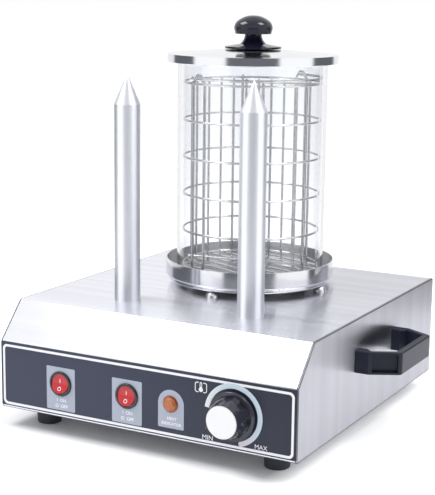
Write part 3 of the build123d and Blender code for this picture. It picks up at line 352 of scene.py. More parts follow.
def brushed(name, color, stretch, rough_low, rough_high, relief, painted_edge_shade=0.0):
    """Brushed stainless steel whose lines run along the axis with the small number of stretch."""
    made, tree, shader = finish(name, color, 1.0, rough_high, Anisotropic=0.92)
    across(tree, shader, (0, 1, 0))
    lines = noise(tree, stretch, 5.0, 0.75)
    line_share = spread(tree, lines, 0.0, 0.75)
    tone = mixed(tree, line_share, tinted(color, line_dark), tinted(color, line_light))
    cloud_share = spread(tree, noise(tree, 9.0, 3.0), 0.0, 0.3)
    tone = mixed(tree, cloud_share, tone, tinted(color, cloud_dark))
    bands = noise(tree, tuple(part / band_stretch for part in stretch), 2.0, 0.6)
    tone = mixed(tree, rising(tree, bands, band_start, band_end), tone, tinted(color, band_dark))
    # Painted shade: the steel turns dark in several places. There is a line on the seam between the shell
    # and the side trays, a line on the trays' outer corner and a band along the bottom fold. These stand in
    # for the shade in the seam's gap and the dark reflections on the bends. The last argument sets how
    # strong they are.
    side = calc(tree, "ABSOLUTE", axis(tree, "X"))
    seam = calc(tree, "COMPARE", side, shell_high.x, seam_half)
    painted_corner_shade = calc(tree, "COMPARE", side, side_panel_face - corner_half, corner_half)
    fold = calc(tree, "LESS_THAN", axis(tree, "Z"), shell_low.z + fold_height)
    shade = calc(tree, "MAXIMUM", calc(tree, "MAXIMUM", seam, painted_corner_shade), fold)
    color_by(tree, shader, mixed(tree, calc(tree, "MULTIPLY", shade, painted_edge_shade), tone, painted_edge_shade_color))
    rough_by(tree, shader, lines, rough_low, rough_high)
    bump(tree, shader, lines, relief)
    return made


shell_steel = brushed("shell_steel", (0.77, 0.78, 0.84), (12, 1500, 1500), 0.22, 0.30, 0.000002, 0.95)
side_steel = brushed("side_steel", (0.485, 0.485, 0.53), (1500, 1500, 9), 0.28, 0.42, 0.00001, 0.95)
use(shell_steel, "top_shell")
use(side_steel, "side_panel_left", "side_panel_right")

# Rear panel, bottom plate and the casing's screws
# The same steel with a plain mill finish, punched with vent slots and held by plated pan head
# screws whose cross recesses are cut here.
mill_steel = brushed("mill_steel", (0.66, 0.66, 0.69), (14, 700, 700), 0.32, 0.5, 0.00001)
use(mill_steel, "rear_panel", "bottom_plate")
plated, plated_tree, plated_shader = finish("plated_screws", (0.72, 0.72, 0.75), 1.0, 0.22)
rough_by(plated_tree, plated_shader, noise(plated_tree, 900.0), 0.15, 0.34)
use(plated, "thermostat_screws", "handle_screws", "foot_screws", "foot_washers", "foot_nuts", "lid_screw")


def geometry_tree(name, sizes):
    """An empty Geometry Nodes tree with one named input for each name and kind of size."""
    tree = bpy.data.node_groups.new(name, "GeometryNodeTree")
    tree.interface.new_socket("Layout", in_out="INPUT", socket_type="NodeSocketGeometry")
    for size_name, kind in sizes.items():
        tree.interface.new_socket(size_name, in_out="INPUT", socket_type="NodeSocket" + kind)
    tree.interface.new_socket("Piece", in_out="OUTPUT", socket_type="NodeSocketGeometry")
    return tree, tree.nodes.new("NodeGroupInput").outputs, tree.nodes.new("NodeGroupOutput").inputs


def grown(name, layout, tree, material, sizes):
    """Runs a tree on a mesh of points or paths and returns the plain mesh object that it makes."""
    seed = put(name + "_layout", layout)
    modifier = seed.modifiers.new("grow", "NODES")
    modifier.node_group = tree
    for item in tree.interface.items_tree:
        if item.in_out == "INPUT" and item.name in sizes:
            modifier[item.identifier] = sizes[item.name]
    mesh = bpy.data.meshes.new_from_object(seed.evaluated_get(bpy.context.evaluated_depsgraph_get()))
    bpy.data.objects.remove(seed)
    mesh.name = name
    mesh.materials.clear()
    mesh.materials.append(material)
    return put(name, mesh)


screw_names = ("Head radius", "Head height", "Crown radius", "Crown height", "Shank radius", "Shank length",
               "Cross length", "Cross width", "Cross depth")
screw_sizes = {words: "Float" for words in screw_names}
screw_tree, screw_size, screw_out = geometry_tree("cross_head_screw", screw_sizes)


def moved(geometry, z, turn=0.0):
    """Lifts a part of the screw along its axis and turns it about it."""
    lift = add_node(screw_tree, "ShaderNodeCombineXYZ", Z=z).outputs[0]
    return add_node(screw_tree, "GeometryNodeTransform", Geometry=geometry, Translation=lift,
                    Rotation=(0, 0, turn)).outputs["Geometry"]


head_edges = add_node(screw_tree, "GeometryNodeJoinGeometry")
for radius, z in (
    (screw_size["Crown radius"], screw_size["Head height"]),
    (screw_size["Head radius"], screw_size["Crown height"]),
    (screw_size["Head radius"], 0.0),
):
    rim = add_node(screw_tree, "GeometryNodeMeshCircle", {"fill_type": "NGON"}, Vertices=36, Radius=radius)
    screw_tree.links.new(moved(rim.outputs["Mesh"], z), head_edges.inputs["Geometry"])
head = add_node(screw_tree, "GeometryNodeConvexHull", Geometry=head_edges.outputs["Geometry"])
cutter_height = calc(screw_tree, "MULTIPLY", screw_size["Cross depth"], 2.0)
cutter_size = add_node(screw_tree, "ShaderNodeCombineXYZ", X=screw_size["Cross length"],
                       Y=screw_size["Cross width"], Z=cutter_height)
recess = add_node(screw_tree, "GeometryNodeMeshBoolean", {"operation": "DIFFERENCE", "solver": "EXACT"},
                  Mesh_1=head.outputs["Convex Hull"])
for quarter in (0.0, pi / 2):
    cutter = add_node(screw_tree, "GeometryNodeMeshCube", Size=cutter_size.outputs[0]).outputs["Mesh"]
    screw_tree.links.new(moved(cutter, screw_size["Head height"], quarter), recess.inputs["Mesh 2"])
shank = add_node(screw_tree, "GeometryNodeMeshCylinder", Vertices=16, Radius=screw_size["Shank radius"],
                 Depth=screw_size["Shank length"]).outputs["Mesh"]
# The shank's top stays a little inside the head.
shank_drop = -0.48
shank_middle = calc(screw_tree, "MULTIPLY", screw_size["Shank length"], shank_drop)
screw = add_node(screw_tree, "GeometryNodeJoinGeometry")
for part in (moved(shank, shank_middle), recess.outputs["Mesh"]):
    screw_tree.links.new(part, screw.inputs["Geometry"])
turned = add_node(screw_tree, "GeometryNodeInputNamedAttribute", {"data_type": "FLOAT_VECTOR"}, Name="turn")
screws = add_node(screw_tree, "GeometryNodeInstanceOnPoints", Points=screw_size["Layout"],
                  Instance=screw.outputs["Geometry"], Rotation=turned.outputs["Attribute"])
screws = add_node(screw_tree, "GeometryNodeRealizeInstances", Geometry=screws.outputs["Instances"])
screws = add_node(screw_tree, "GeometryNodeSetMaterial", Geometry=screws.outputs["Geometry"],
                  Material=plated)
screw_tree.links.new(screws.outputs["Geometry"], screw_out["Piece"])

screw_column, rear_levels, under_rows = 0.1428, (0.033, 0.0853, 0.1073), (-0.1, 0.1)
# Each screw's cross has come to rest at another angle.
rear_turn, rear_turn_step, under_turn, under_turn_step = 0.7, 1.9, 0.4, 2.3
screw_spots, screw_turns = [], []
for i, (side, z) in enumerate((side, z) for side in (-1, 1) for z in rear_levels):
    screw_spots.append((side * screw_column, shell_high.y, z))
    screw_turns += [-pi / 2, rear_turn + rear_turn_step * i, 0.0]
for i, (side, y) in enumerate((side, y) for side in (-1, 1) for y in under_rows):
    screw_spots.append((side * screw_column, y, shell_low.z))
    screw_turns += [pi, 0.0, under_turn + under_turn_step * i]
screw_layout = bpy.data.meshes.new("casing_screw_layout")
screw_layout.from_pydata(screw_spots, [], [])
screw_layout.attributes.new("turn", "FLOAT_VECTOR", "POINT").data.foreach_set("vector", screw_turns)
casing_screws = grown("cross_head_screws", screw_layout, screw_tree, plated, {
    "Head radius": 0.0038, "Head height": 0.0022, "Crown radius": 0.0029, "Crown height": 0.0013,
    "Shank radius": 0.0019, "Shank length": 0.006,
    "Cross length": 0.0042, "Cross width": 0.00085, "Cross depth": 0.0013})
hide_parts("casing_screws")
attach(casing_screws, "casing")

# Control panel film
# A printed plastic film on the front: dark slate ground with a white frame line, grey-blue fields
# behind the switches and the lamp, and a pale ring round the thermostat's knob.
film, film_tree, film_shader = finish("panel_film", (0.040, 0.047, 0.080), 0.0, 0.30,
                                      Specular_IOR_Level=0.32)
# Painted reflection: the film's colour darkens towards its right end, standing in for its mirror image of
# the dark card there.
painted_film_reflection = rising(film_tree, axis(film_tree, "X"), -0.05, 0.15)
film_tone = mixed(film_tree, painted_film_reflection, (0.034, 0.041, 0.074, 1), (0.016, 0.018, 0.038, 1))
color_by(film_tree, film_shader, film_tone)
film_grain = noise(film_tree, 2200.0)
rough_by(film_tree, film_shader, film_grain, 0.28, 0.38)
bump(film_tree, film_shader, film_grain, 0.00001)
use(film, "control_overlay")
film_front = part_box("control_overlay")[0].y
ink_depth = 0.00006
capital_share = 0.7
join_distance = 1e-7


def ink(name, color):
    """Printing ink: nearly matt, with a faint speckle of the screen."""
    made, tree, shader = finish(name, color, 0.0, 0.42)
    speckle = spread(tree, noise(tree, 3000.0), 0.0, 0.25)
    color_by(tree, shader, mixed(tree, speckle, tinted(color, 1), tinted(color, 0.86)))
    return made, tree, shader


white_ink = ink("white_ink", (0.87, 0.88, 0.90))[0]
field_ink = ink("field_ink", (0.40, 0.44, 0.53))[0]
dial_ink, dial_tree, dial_shader = ink("dial_ink", (0.62, 0.72, 0.80))
dial_start = rising(dial_tree, axis(dial_tree, "X"), 0.064, 0.084)
dial_end = rising(dial_tree, axis(dial_tree, "Z"), 0.021, 0.036)
dial_tone = mixed(dial_tree, dial_start, (0.86, 0.87, 0.89, 1), (0.60, 0.71, 0.79, 1))
color_by(dial_tree, dial_shader, mixed(dial_tree, dial_end, (0.72, 0.62, 0.68, 1), dial_tone))


def arc(x, z, radius, start, end, steps=8):
    """Points on an arc about (x, z), angles in degrees."""
    turns = [radians(start + (end - start) * i / steps) for i in range(steps + 1)]
    return [(x + radius * cos(turn), z + radius * sin(turn)) for turn in turns]


def rounded_loop(low_x, high_x, low_z, high_z, radius, top_radius=None):
    """The outline of a rectangle with round corners, in millimetres."""
    upper = radius if top_radius is None else top_radius
    return (
        arc(high_x - radius, low_z + radius, radius, -90, 0)
        + arc(high_x - upper, high_z - upper, upper, 0, 90, 16)
        + arc(low_x + upper, high_z - upper, upper, 90, 180, 16)
        + arc(low_x + radius, low_z + radius, radius, 180, 270)
    )


def arc_band(x, z, radius, width, start, end, steps=96):
    """A ring segment's outline, square at its start and round at its end, in millimetres and degrees."""
    middle = radius - width / 2
    turn = 1 if end > start else -1
    tip_x, tip_z = x + middle * cos(radians(end)), z + middle * sin(radians(end))
    return (
        arc(x, z, radius, start, end, steps)
        + arc(tip_x, tip_z, width / 2, end, end + turn * 180, 10)[1:-1]
        + arc(x, z, radius - width, end, start, steps)
    )


def bracket_edge(side, x, low_z, high_z, arm_end, radius):
    """An upright line whose two ends turn towards arm_end on a round corner."""
    steps = 5
    turns = [pi / 2 * i / steps for i in range(steps + 1)]
    low_bend = [(x - side * radius * (1 - sin(turn)), low_z + radius * (1 - cos(turn))) for turn in turns]
    high_bend = [(x - side * radius * (1 - cos(turn)), high_z - radius * (1 - sin(turn))) for turn in turns]
    return [(arm_end, low_z)] + low_bend + high_bend + [(arm_end, high_z)]


def bracket(side, x, low_z, high_z, arm, radius, width):
    """One half of an open frame round a symbol, in millimetres."""
    arm_end = x - side * arm
    inner_x, inner_low, inner_high = x - side * width, low_z + width, high_z - width
    inner = bracket_edge(side, inner_x, inner_low, inner_high, arm_end, radius - width)
    return bracket_edge(side, x, low_z, high_z, arm_end, radius) + inner[::-1]


def stand_up(name, curve, layer, material, body="casing"):
    """Turns a flat curve or text upright, as a mesh in front of the panel."""
    flat = put(name + "_flat", curve)
    mesh = bpy.data.meshes.new_from_object(flat.evaluated_get(bpy.context.evaluated_depsgraph_get()))
    bpy.data.objects.remove(flat)
    outward = bmesh.new()
    outward.from_mesh(mesh)
    bmesh.ops.remove_doubles(outward, verts=outward.verts, dist=join_distance)
    bmesh.ops.recalc_face_normals(outward, faces=outward.faces)
    outward.to_mesh(mesh)
    outward.free()
    in_front = Matrix.Translation((0, film_front - layer * ink_depth, 0))
    mesh.transform(in_front @ Matrix.Rotation(pi / 2, 4, "X"))
    mesh.materials.clear()
    mesh.materials.append(material)
    piece = put(name, mesh)
    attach(piece, body)
    return piece


def printed(name, layer, material, *loops):
    """A print on the panel from outlines in millimetres: inner outlines are left open."""
    curve = bpy.data.curves.new(name, "CURVE")
    curve.dimensions = "2D"
    curve.fill_mode = "BOTH"
    curve.extrude = ink_depth / 2
    for loop in loops:
        spline = curve.splines.new("POLY")
        spline.points.add(len(loop) - 1)
        for point, (x, z) in zip(spline.points, loop):
            point.co = (x / 1000, z / 1000, 0, 1)
        spline.use_cyclic_u = True
    stand_up(name, curve, layer, material)


def lettered(name, words, x, z, size, layer, body="casing", weight=0.08):
    """Plain white lettering, centred on (x, z) in millimetres.

    size is the height of a capital and weight is what its strokes gain.
    """
    text = bpy.data.curves.new(name, "FONT")
    text.body = words
    text.size = size / 1000 / capital_share
    text.align_x = "CENTER"
    text.align_y = "CENTER"
    text.extrude = ink_depth / 2
    text.offset = weight / 1000
    piece = stand_up(name, text, layer, white_ink, body)
    piece.data.transform(Matrix.Translation((x / 1000, 0, z / 1000)))
    return piece


frame_outside = rounded_loop(-147.4, 147.0, 20.8, 77.5, 4.5)
frame_inside = rounded_loop(-145.2, 144.8, 23.1, 75.3, 2.8)
printed("panel_frame_line", 1, white_ink, frame_outside, frame_inside)
printed("switch_field_left", 1, field_ink, rounded_loop(-98.9, -68.4, 24.3, 64.2, 1.2))
printed("switch_field_right", 1, field_ink, rounded_loop(-29.1, 1.5, 24.0, 63.8, 1.2))
printed("lamp_field", 1, field_ink, rounded_loop(18.0, 43.5, 27.4, 61.6, 1.2, 12.7))
printed("dial_ring", 2, dial_ink, arc_band(91.0, 49.3, 27.3, 4.4, 173, -73))
for side_name, x in (("left", -82.9), ("right", -13.1)):
    lettered(f"switch_word_on_{side_name}", "I  ON", x, 33.6, 3.0, 2)
    lettered(f"switch_word_off_{side_name}", "O  OFF", x, 28.2, 3.0, 2)
lettered("lamp_word_upper", "HEAT", 31.6, 36.0, 2.7, 2)
lettered("lamp_word_lower", "INDICATOR", 31.2, 31.3, 2.5, 2)
lettered("dial_word_low", "MIN", 66.8, 25.4, 4.2, 1, weight=0)
lettered("dial_word_high", "MAX", 117.2, 25.6, 3.9, 1, weight=0)
sign_sizes = {"low_z": 64.0, "high_z": 73.0, "arm": 3.6, "radius": 2.0, "width": 0.75}
sign_halves = [bracket(side, x, **sign_sizes) for side, x in ((-1, 54.1), (1, 65.8))]
printed("thermometer_frame", 1, white_ink, *sign_halves)
thermometer = arc(59.9, 66.5, 2.0, 125, 415, 20) + arc(59.9, 72.0, 1.15, 0, 180, 8)
printed("thermometer_mark", 1, white_ink, thermometer, rounded_loop(59.45, 60.35, 69.0, 72.2, 0.4))

# Rocker switches
# Snap-in round switches: a gloss black moulding with a rolled bezel, and a clear red rocker that
# carries the on and off marks and is pressed in at the top.
black_gloss, black_tree, black_shader = finish("black_gloss", (0.018, 0.018, 0.024), 0.0, 0.18)
rough_by(black_tree, black_shader, noise(black_tree, 260.0, 3.0), 0.12, 0.24)
use(black_gloss, "switch_housing_left", "switch_housing_right")
red_clear, red_tree, red_shader = finish("red_rocker", (0.55, 0.012, 0.02), 0.0, 0.16,
                                         Subsurface_Weight=0.25, Subsurface_Scale=0.004)
red_depth = spread(red_tree, noise(red_tree, 160.0), 0.1, 0.7)
color_by(red_tree, red_shader, mixed(red_tree, red_depth, (0.62, 0.02, 0.03, 1), (0.40, 0.006, 0.012, 1)))
use(red_clear, "switch_rocker_left", "switch_rocker_right")


def on_face(piece, node, lift):
    """Lays a print, which stands in front of a CAD node, back on its face."""
    well_in_front = -0.3
    mesh = nodes[node].data
    face = BVHTree.FromPolygons([v.co for v in mesh.vertices], [p.vertices for p in mesh.polygons])
    front = min(v.co.y for v in piece.data.vertices)
    for v in piece.data.vertices:
        found = face.ray_cast(Vector((v.co.x, well_in_front, v.co.z)), Vector((0, 1, 0)))[0]
        v.co.y = found.y - lift - (ink_depth if v.co.y < front + ink_depth / 2 else 0)


mark_size, mark_lift = 3.4, 0.00002
for side_name, x in (("left", -83.5), ("right", -13.6)):
    for mark_name, mark, z in (("on", "I", 51.9), ("off", "O", 44.9)):
        mark_body = f"rocker_{side_name}"
        piece = lettered(f"rocker_mark_{mark_name}_{side_name}", mark, x, z, mark_size, 1, mark_body)
        on_face(piece, f"switch_rocker_{side_name}", mark_lift)

# Pilot lamp
# An amber lens with twelve facets and a fine prism pattern, on a barrel that a nut holds inside.
amber, amber_tree, amber_shader = finish("amber_lens", (0.62, 0.20, 0.06), 0.0, 0.22,
                                         Transmission_Weight=0.25, Subsurface_Weight=0.3,
                                         Subsurface_Scale=0.003)
lens_middle = Vector((0.0304, 0, 0.049))
painted_rim_shade_start, painted_rim_shade_end = 0.0057, 0.0066
amber_cells = noise(amber_tree, 500.0, 1.0)
amber_tone = mixed(amber_tree, amber_cells, (0.68, 0.25, 0.09, 1), (0.48, 0.12, 0.03, 1))
lens_place = add_node(amber_tree, "ShaderNodeMapping", Vector=object_place(amber_tree),
                      Location=-lens_middle, Scale=(1, 0, 1)).outputs["Vector"]
lens_out = vector_calc(amber_tree, "LENGTH", lens_place)
# Painted shade: the lens darkens to a deeper amber towards its rim, where it sits in its recess.
painted_lens_rim_shade = rising(amber_tree, lens_out, painted_rim_shade_start, painted_rim_shade_end)
color_by(amber_tree, amber_shader, mixed(amber_tree, painted_lens_rim_shade, amber_tone, (0.36, 0.09, 0.035, 1)))
bump(amber_tree, amber_shader, noise(amber_tree, 700.0, 0.0), 0.0002)
use(amber, "lamp_lens")
pale_plastic, pale_tree, pale_shader = finish("pale_plastic", (0.75, 0.73, 0.66), 0.0, 0.5)
bump(pale_tree, pale_shader, noise(pale_tree, 1500.0), 0.00002)
use(pale_plastic, "lamp_body", "terminal_block")

# Thermostat and its knob
# A phenolic knob with eight flutes, a white pointer line and a satin white cap; a brass
# thermostat stands behind the panel, and its bulb lies in the heater.
knob_black, knob_tree, knob_shader = finish("knob_phenolic", (0.030, 0.031, 0.044), 0.0, 0.15)
rough_by(knob_tree, knob_shader, noise(knob_tree, 150.0, 3.0), 0.06, 0.12)
use(knob_black, "thermostat_knob")
cap_white, cap_tree, cap_shader = finish("knob_cap_white", (0.86, 0.86, 0.87), 0.0, 0.35)
rough_by(cap_tree, cap_shader, noise(cap_tree, 400.0), 0.28, 0.42)
use(cap_white, "knob_cap")
knob_axis = Vector((0.091, 0, 0.049))
pointer_angle = radians(205)
pointer_out = Vector((cos(pointer_angle), 0, sin(pointer_angle)))
pointer_across = Vector((-sin(pointer_angle), 0, cos(pointer_angle)))
pointer_path = [(0.01512, -0.1799), (0.0153, -0.179), (0.0162, -0.1748)]
pointer_half_width, pointer_lift, pointer_sink = 0.0008, 0.00008, -0.0002
pointer_shape = bmesh.new()
pointer_rows = {pointer_lift: [], pointer_sink: []}
for radius, y in pointer_path:
    spot = knob_axis + pointer_out * radius + Vector((0, y, 0))
    for lift, rows in pointer_rows.items():
        lifted_spot = spot + (pointer_out - Vector((0, 1, 0))) * lift
        edges = [lifted_spot + pointer_across * side * pointer_half_width for side in (-1, 1)]
        rows.append([pointer_shape.verts.new(edge) for edge in edges])
upper, lower = pointer_rows[pointer_lift], pointer_rows[pointer_sink]
for rows in (upper, lower[::-1]):
    for first, second in zip(rows, rows[1:]):
        pointer_shape.faces.new((first[0], first[1], second[1], second[0]))
for i in range(len(upper) - 1):
    for side in (0, 1):
        pointer_shape.faces.new((upper[i][side], upper[i + 1][side], lower[i + 1][side], lower[i][side]))
for i in (0, -1):
    pointer_shape.faces.new((upper[i][0], upper[i][1], lower[i][1], lower[i][0]))
bmesh.ops.recalc_face_normals(pointer_shape, faces=pointer_shape.faces)
pointer_mesh = bpy.data.meshes.new("knob_pointer")
pointer_shape.to_mesh(pointer_mesh)
pointer_shape.free()
pointer_mesh.materials.append(white_ink)
pointer = put("knob_pointer", pointer_mesh)
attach(pointer, "knob")
brass, brass_tree, brass_shader = finish("thermostat_brass", (0.62, 0.47, 0.25), 1.0, 0.35)
rough_by(brass_tree, brass_shader, noise(brass_tree, 300.0, 4.0), 0.25, 0.5)
use(brass, "thermostat_body", "thermostat_shaft", "sensor_bulb")

# Bun spikes and heaters
# Aluminium bar, turned and polished, with a long cone at the tip; the lathe leaves faint rings.
# A cartridge heater fills each one, and a nut and a washer hold it under the top.
spike_metal, spike_tree, spike_shader = finish("spike_aluminium", (0.83, 0.85, 0.90), 1.0, 0.5,
                                               Anisotropic=0.7)
lathe_lines = noise(spike_tree, (25, 25, 5200), 3.0, 0.7)
rough_by(spike_tree, spike_shader, lathe_lines, 0.42, 0.56)
across(spike_tree, spike_shader, (0, 0, 1))
bump(spike_tree, spike_shader, lathe_lines, 0.000008)
use(spike_metal, "spike_left", "spike_right")
use(plated, "spike_washers", "spike_nuts")
heater_metal, heater_tree, heater_shader = finish("heater_metal", (0.30, 0.30, 0.31), 1.0, 0.5)
rough_by(heater_tree, heater_shader, noise(heater_tree, 220.0, 5.0), 0.4, 0.62)
use(heater_metal, "heater_disc", "cartridge_heater_left", "cartridge_heater_right", "heater_clamp")

# Water pan and the domed screws that carry it
# Deep drawn stainless, polished by spinning, so its fine lines run round the axis. Four domed
# screws hold it above the top.
pan_y = 44.4
pan_axis = Vector((0, pan_y / 1000, 0))


def spun(name, color, rings, rough_low, rough_high, relief):
    """Metal polished on a lathe about the pan's axis: the lines are noise on the radius and height."""
    made, tree, shader = finish(name, color, 1.0, rough_high)
    centred = add_node(tree, "ShaderNodeMapping", Vector=object_place(tree), Location=-pan_axis)
    split = add_node(tree, "ShaderNodeSeparateXYZ", Vector=centred.outputs["Vector"]).outputs
    flat = add_node(tree, "ShaderNodeCombineXYZ", X=split["X"], Y=split["Y"]).outputs[0]
    profile = add_node(tree, "ShaderNodeCombineXYZ", X=vector_calc(tree, "LENGTH", flat), Y=split["Z"])
    lines = add_node(tree, "ShaderNodeTexNoise", Vector=profile.outputs[0], Scale=rings, Detail=3.0,
                     Roughness=0.7).outputs["Fac"]
    rough_by(tree, shader, lines, rough_low, rough_high)
    bump(tree, shader, lines, relief)
    return made, tree, shader


pan_steel, pan_tree, pan_shader = spun("pan_steel", (0.76, 0.76, 0.79), 2600.0, 0.08, 0.17, 0.000004)
pan_out = add_node(pan_tree, "ShaderNodeMapping", Vector=object_place(pan_tree), Location=-pan_axis,
                   Scale=(1, 1, 0))
pan_facing = add_node(pan_tree, "ShaderNodeNewGeometry").outputs["Normal"]
pan_facing = vector_calc(pan_tree, "DOT_PRODUCT", pan_facing, pan_out.outputs["Vector"])
# 0 is the inside of the wall, 0.5 the level faces and 1 the outside.
pan_side = rising(pan_tree, pan_facing, -0.08, 0.08)
# Painted light: the same steel is lighter and less metallic on the inside of the wall, and a little so on
# the level faces. This makes the inside read bright where the glass and the lid shade it.
pan_metal = ramp(pan_tree, pan_side, (0.2, 0.4), (0.48, 0.7), (0.51, 0.7), (0.58, 1.0))
pan_tree.links.new(pan_metal, pan_shader.inputs["Metallic"])
pan_painted_light_tones = ((0.2, (0.90, 0.90, 0.92)), (0.48, (0.80, 0.80, 0.82)), (0.58, (0.76, 0.76, 0.79)))
color_by(pan_tree, pan_shader, ramp(pan_tree, pan_side, *pan_painted_light_tones))
use(pan_steel, "water_pan")
use(plated, "pan_screws", "pan_nuts")

# Carrying handles and the cable gland
# Two nylon mouldings, screwed on from inside, with a fine spark-eroded grain and soft edges, and
# a gland of the same nylon whose nut clamps it in the rear panel.
nylon, nylon_tree, nylon_shader = finish("handle_nylon", (0.016, 0.019, 0.034), 0.0, 0.34,
                                         Specular_IOR_Level=0.22)
nylon_grain = noise(nylon_tree, 1700.0, 3.0)
rough_by(nylon_tree, nylon_shader, nylon_grain, 0.26, 0.42)
bump(nylon_tree, nylon_shader, nylon_grain, 0.00006)
use(nylon, "handle_left", "handle_right", "cable_gland", "gland_nut")

# Rubber feet
# Black rubber bumpers with a washer above each, screwed into the bottom plate.
rubber, rubber_tree, rubber_shader = finish("foot_rubber", (0.030, 0.030, 0.040), 0.0, 0.62)
bump(rubber_tree, rubber_shader, noise(rubber_tree, 900.0, 4.0), 0.00005)
use(rubber, "foot_front_left", "foot_front_right", "foot_rear_left", "foot_rear_right")

# Glass cylinder
# Borosilicate tube with fire-polished ends, clear with a faint cold tint.
glass, glass_tree, glass_shader = finish("clear_glass", (0.955, 0.963, 0.982), 0.0, 0.0,
                                         Transmission_Weight=1.0, IOR=1.47)
rough_by(glass_tree, glass_shader, noise(glass_tree, 30.0), 0.0, 0.02)
use(glass, "glass_cylinder")

# Wire basket, divider and bail
# Stainless wire, butt welded into rings and spot welded to the uprights, the two arches and the
# floor bars; the divider stands loose in it and the bail hooks through the arches.
wire_steel, wire_tree, wire_shader = finish("wire_steel", (0.74, 0.735, 0.73), 1.0, 0.2)
rough_by(wire_tree, wire_shader, noise(wire_tree, 420.0, 4.0), 0.05, 0.14)
use(wire_steel, "basket_bail")
wire_work, size, piece_out = geometry_tree("wire_work", {
    "Wire sides": "Int", "Bend steps": "Int", "Ring radius": "Float", "Ring wire": "Float", "Rings": "Int",
    "Ring pitch": "Float", "Lowest ring": "Vector"})


def stored(name):
    """A value that the paths carry for each of their points."""
    made = add_node(wire_work, "GeometryNodeInputNamedAttribute", {"data_type": "FLOAT"}, Name=name)
    return made.outputs["Attribute"]


bead_points = add_node(wire_work, "GeometryNodeSeparateGeometry", {"domain": "POINT"},
                       Geometry=size["Layout"], Selection=stored("bead"))
ball = add_node(wire_work, "GeometryNodeMeshIcoSphere", Radius=1.0, Subdivisions=2)
beads = add_node(wire_work, "GeometryNodeInstanceOnPoints", Points=bead_points.outputs["Selection"],
                 Instance=ball.outputs["Mesh"], Scale=stored("bead"))
paths = add_node(wire_work, "GeometryNodeMeshToCurve", Mesh=bead_points.outputs["Inverted"])
bends = add_node(wire_work, "GeometryNodeFilletCurve", {"mode": "POLY"}, Curve=paths.outputs["Curve"],
                 Count=size["Bend steps"], Radius=stored("bend"), Limit_Radius=True)
section = add_node(wire_work, "GeometryNodeCurvePrimitiveCircle", Resolution=size["Wire sides"], Radius=1.0)
rods = add_node(wire_work, "GeometryNodeCurveToMesh", Curve=bends.outputs["Curve"],
                Profile_Curve=section.outputs["Curve"], Scale=stored("thick"), Fill_Caps=True)
hoop = add_node(wire_work, "GeometryNodeCurvePrimitiveCircle", Resolution=120, Radius=size["Ring radius"])
ring_section = add_node(wire_work, "GeometryNodeCurvePrimitiveCircle", Resolution=size["Wire sides"],
                        Radius=size["Ring wire"])
ring = add_node(wire_work, "GeometryNodeCurveToMesh", Curve=hoop.outputs["Curve"],
                Profile_Curve=ring_section.outputs["Curve"])
climb = add_node(wire_work, "ShaderNodeCombineXYZ", Z=size["Ring pitch"])
stack = add_node(wire_work, "GeometryNodeMeshLine", Count=size["Rings"], Start_Location=size["Lowest ring"],
                 Offset=climb.outputs[0])
rings = add_node(wire_work, "GeometryNodeInstanceOnPoints", Points=stack.outputs["Mesh"],
                 Instance=ring.outputs["Mesh"])
joined = add_node(wire_work, "GeometryNodeJoinGeometry")
for part in (rings.outputs["Instances"], beads.outputs["Instances"], rods.outputs["Mesh"]):
    wire_work.links.new(part, joined.inputs["Geometry"])
smooth = add_node(wire_work, "GeometryNodeSetShadeSmooth", Geometry=joined.outputs["Geometry"])
real = add_node(wire_work, "GeometryNodeRealizeInstances", Geometry=smooth.outputs["Geometry"])
coated = add_node(wire_work, "GeometryNodeSetMaterial", Geometry=real.outputs["Geometry"],
                  Material=wire_steel)
wire_work.links.new(coated.outputs["Geometry"], piece_out["Piece"])


def wire_paths(name, rods, beads):
    """A mesh of wires (points with a bend radius each, and a wire radius) and of beads (point, radius)."""
    mesh = bpy.data.meshes.new(name)
    points, edges, bend, thick, bead = [], [], [], [], []
    for path, radius in rods:
        for i, (spot, turn) in enumerate(path):
            if i > 0:
                edges.append((len(points) - 1, len(points)))
            points.append(Vector(spot) / 1000)
            bend.append(turn / 1000)
            thick.append(radius / 1000)
            bead.append(0.0)
    for spot, radius in beads:
        points.append(Vector(spot) / 1000)
        bend.append(0.0)
        thick.append(0.0)
        bead.append(radius / 1000)
    mesh.from_pydata(points, edges, [])
    for key, values in (("bend", bend), ("thick", thick), ("bead", bead)):
        mesh.attributes.new(key, "FLOAT", "POINT").data.foreach_set("value", values)
    return mesh


def at(angle, radius, z):
    """A point by its angle and its radius about the pan's axis, in millimetres."""
    return (radius * cos(radians(angle)), pan_y + radius * sin(radians(angle)), z)


def straight(first, last, radius):
    """A straight wire between two points."""
    return [(first, 0), (last, 0)], radius


wire_sides = 14
ring_radius, ring_wire, rod_wire, bar_wire = 65.5, 1.1, 1.4, 1.15
low_ring, ring_pitch, ring_count = 133.0, 35.4, 6
ring_heights = [low_ring + ring_pitch * i for i in range(ring_count)]
top_ring = ring_heights[-1]
rod_circle, rod_foot, rod_tip, rod_angles = 63.35, low_ring - 0.55, 313.0, (126, 186, 306, 348)
# Each upright stops inside the ball that rounds its tip.
rod_end = rod_tip - 1.0
weld_out, weld_bead = 1.3, 1.35
basket_rods, basket_beads = [], []
for angle in rod_angles:
    basket_rods.append(straight(at(angle, rod_circle, rod_foot), at(angle, rod_circle, rod_end), rod_wire))
    basket_beads.append((at(angle, rod_circle, rod_tip - rod_wire), rod_wire))
    basket_beads += [(at(angle, rod_circle + weld_out, z), weld_bead) for z in ring_heights]

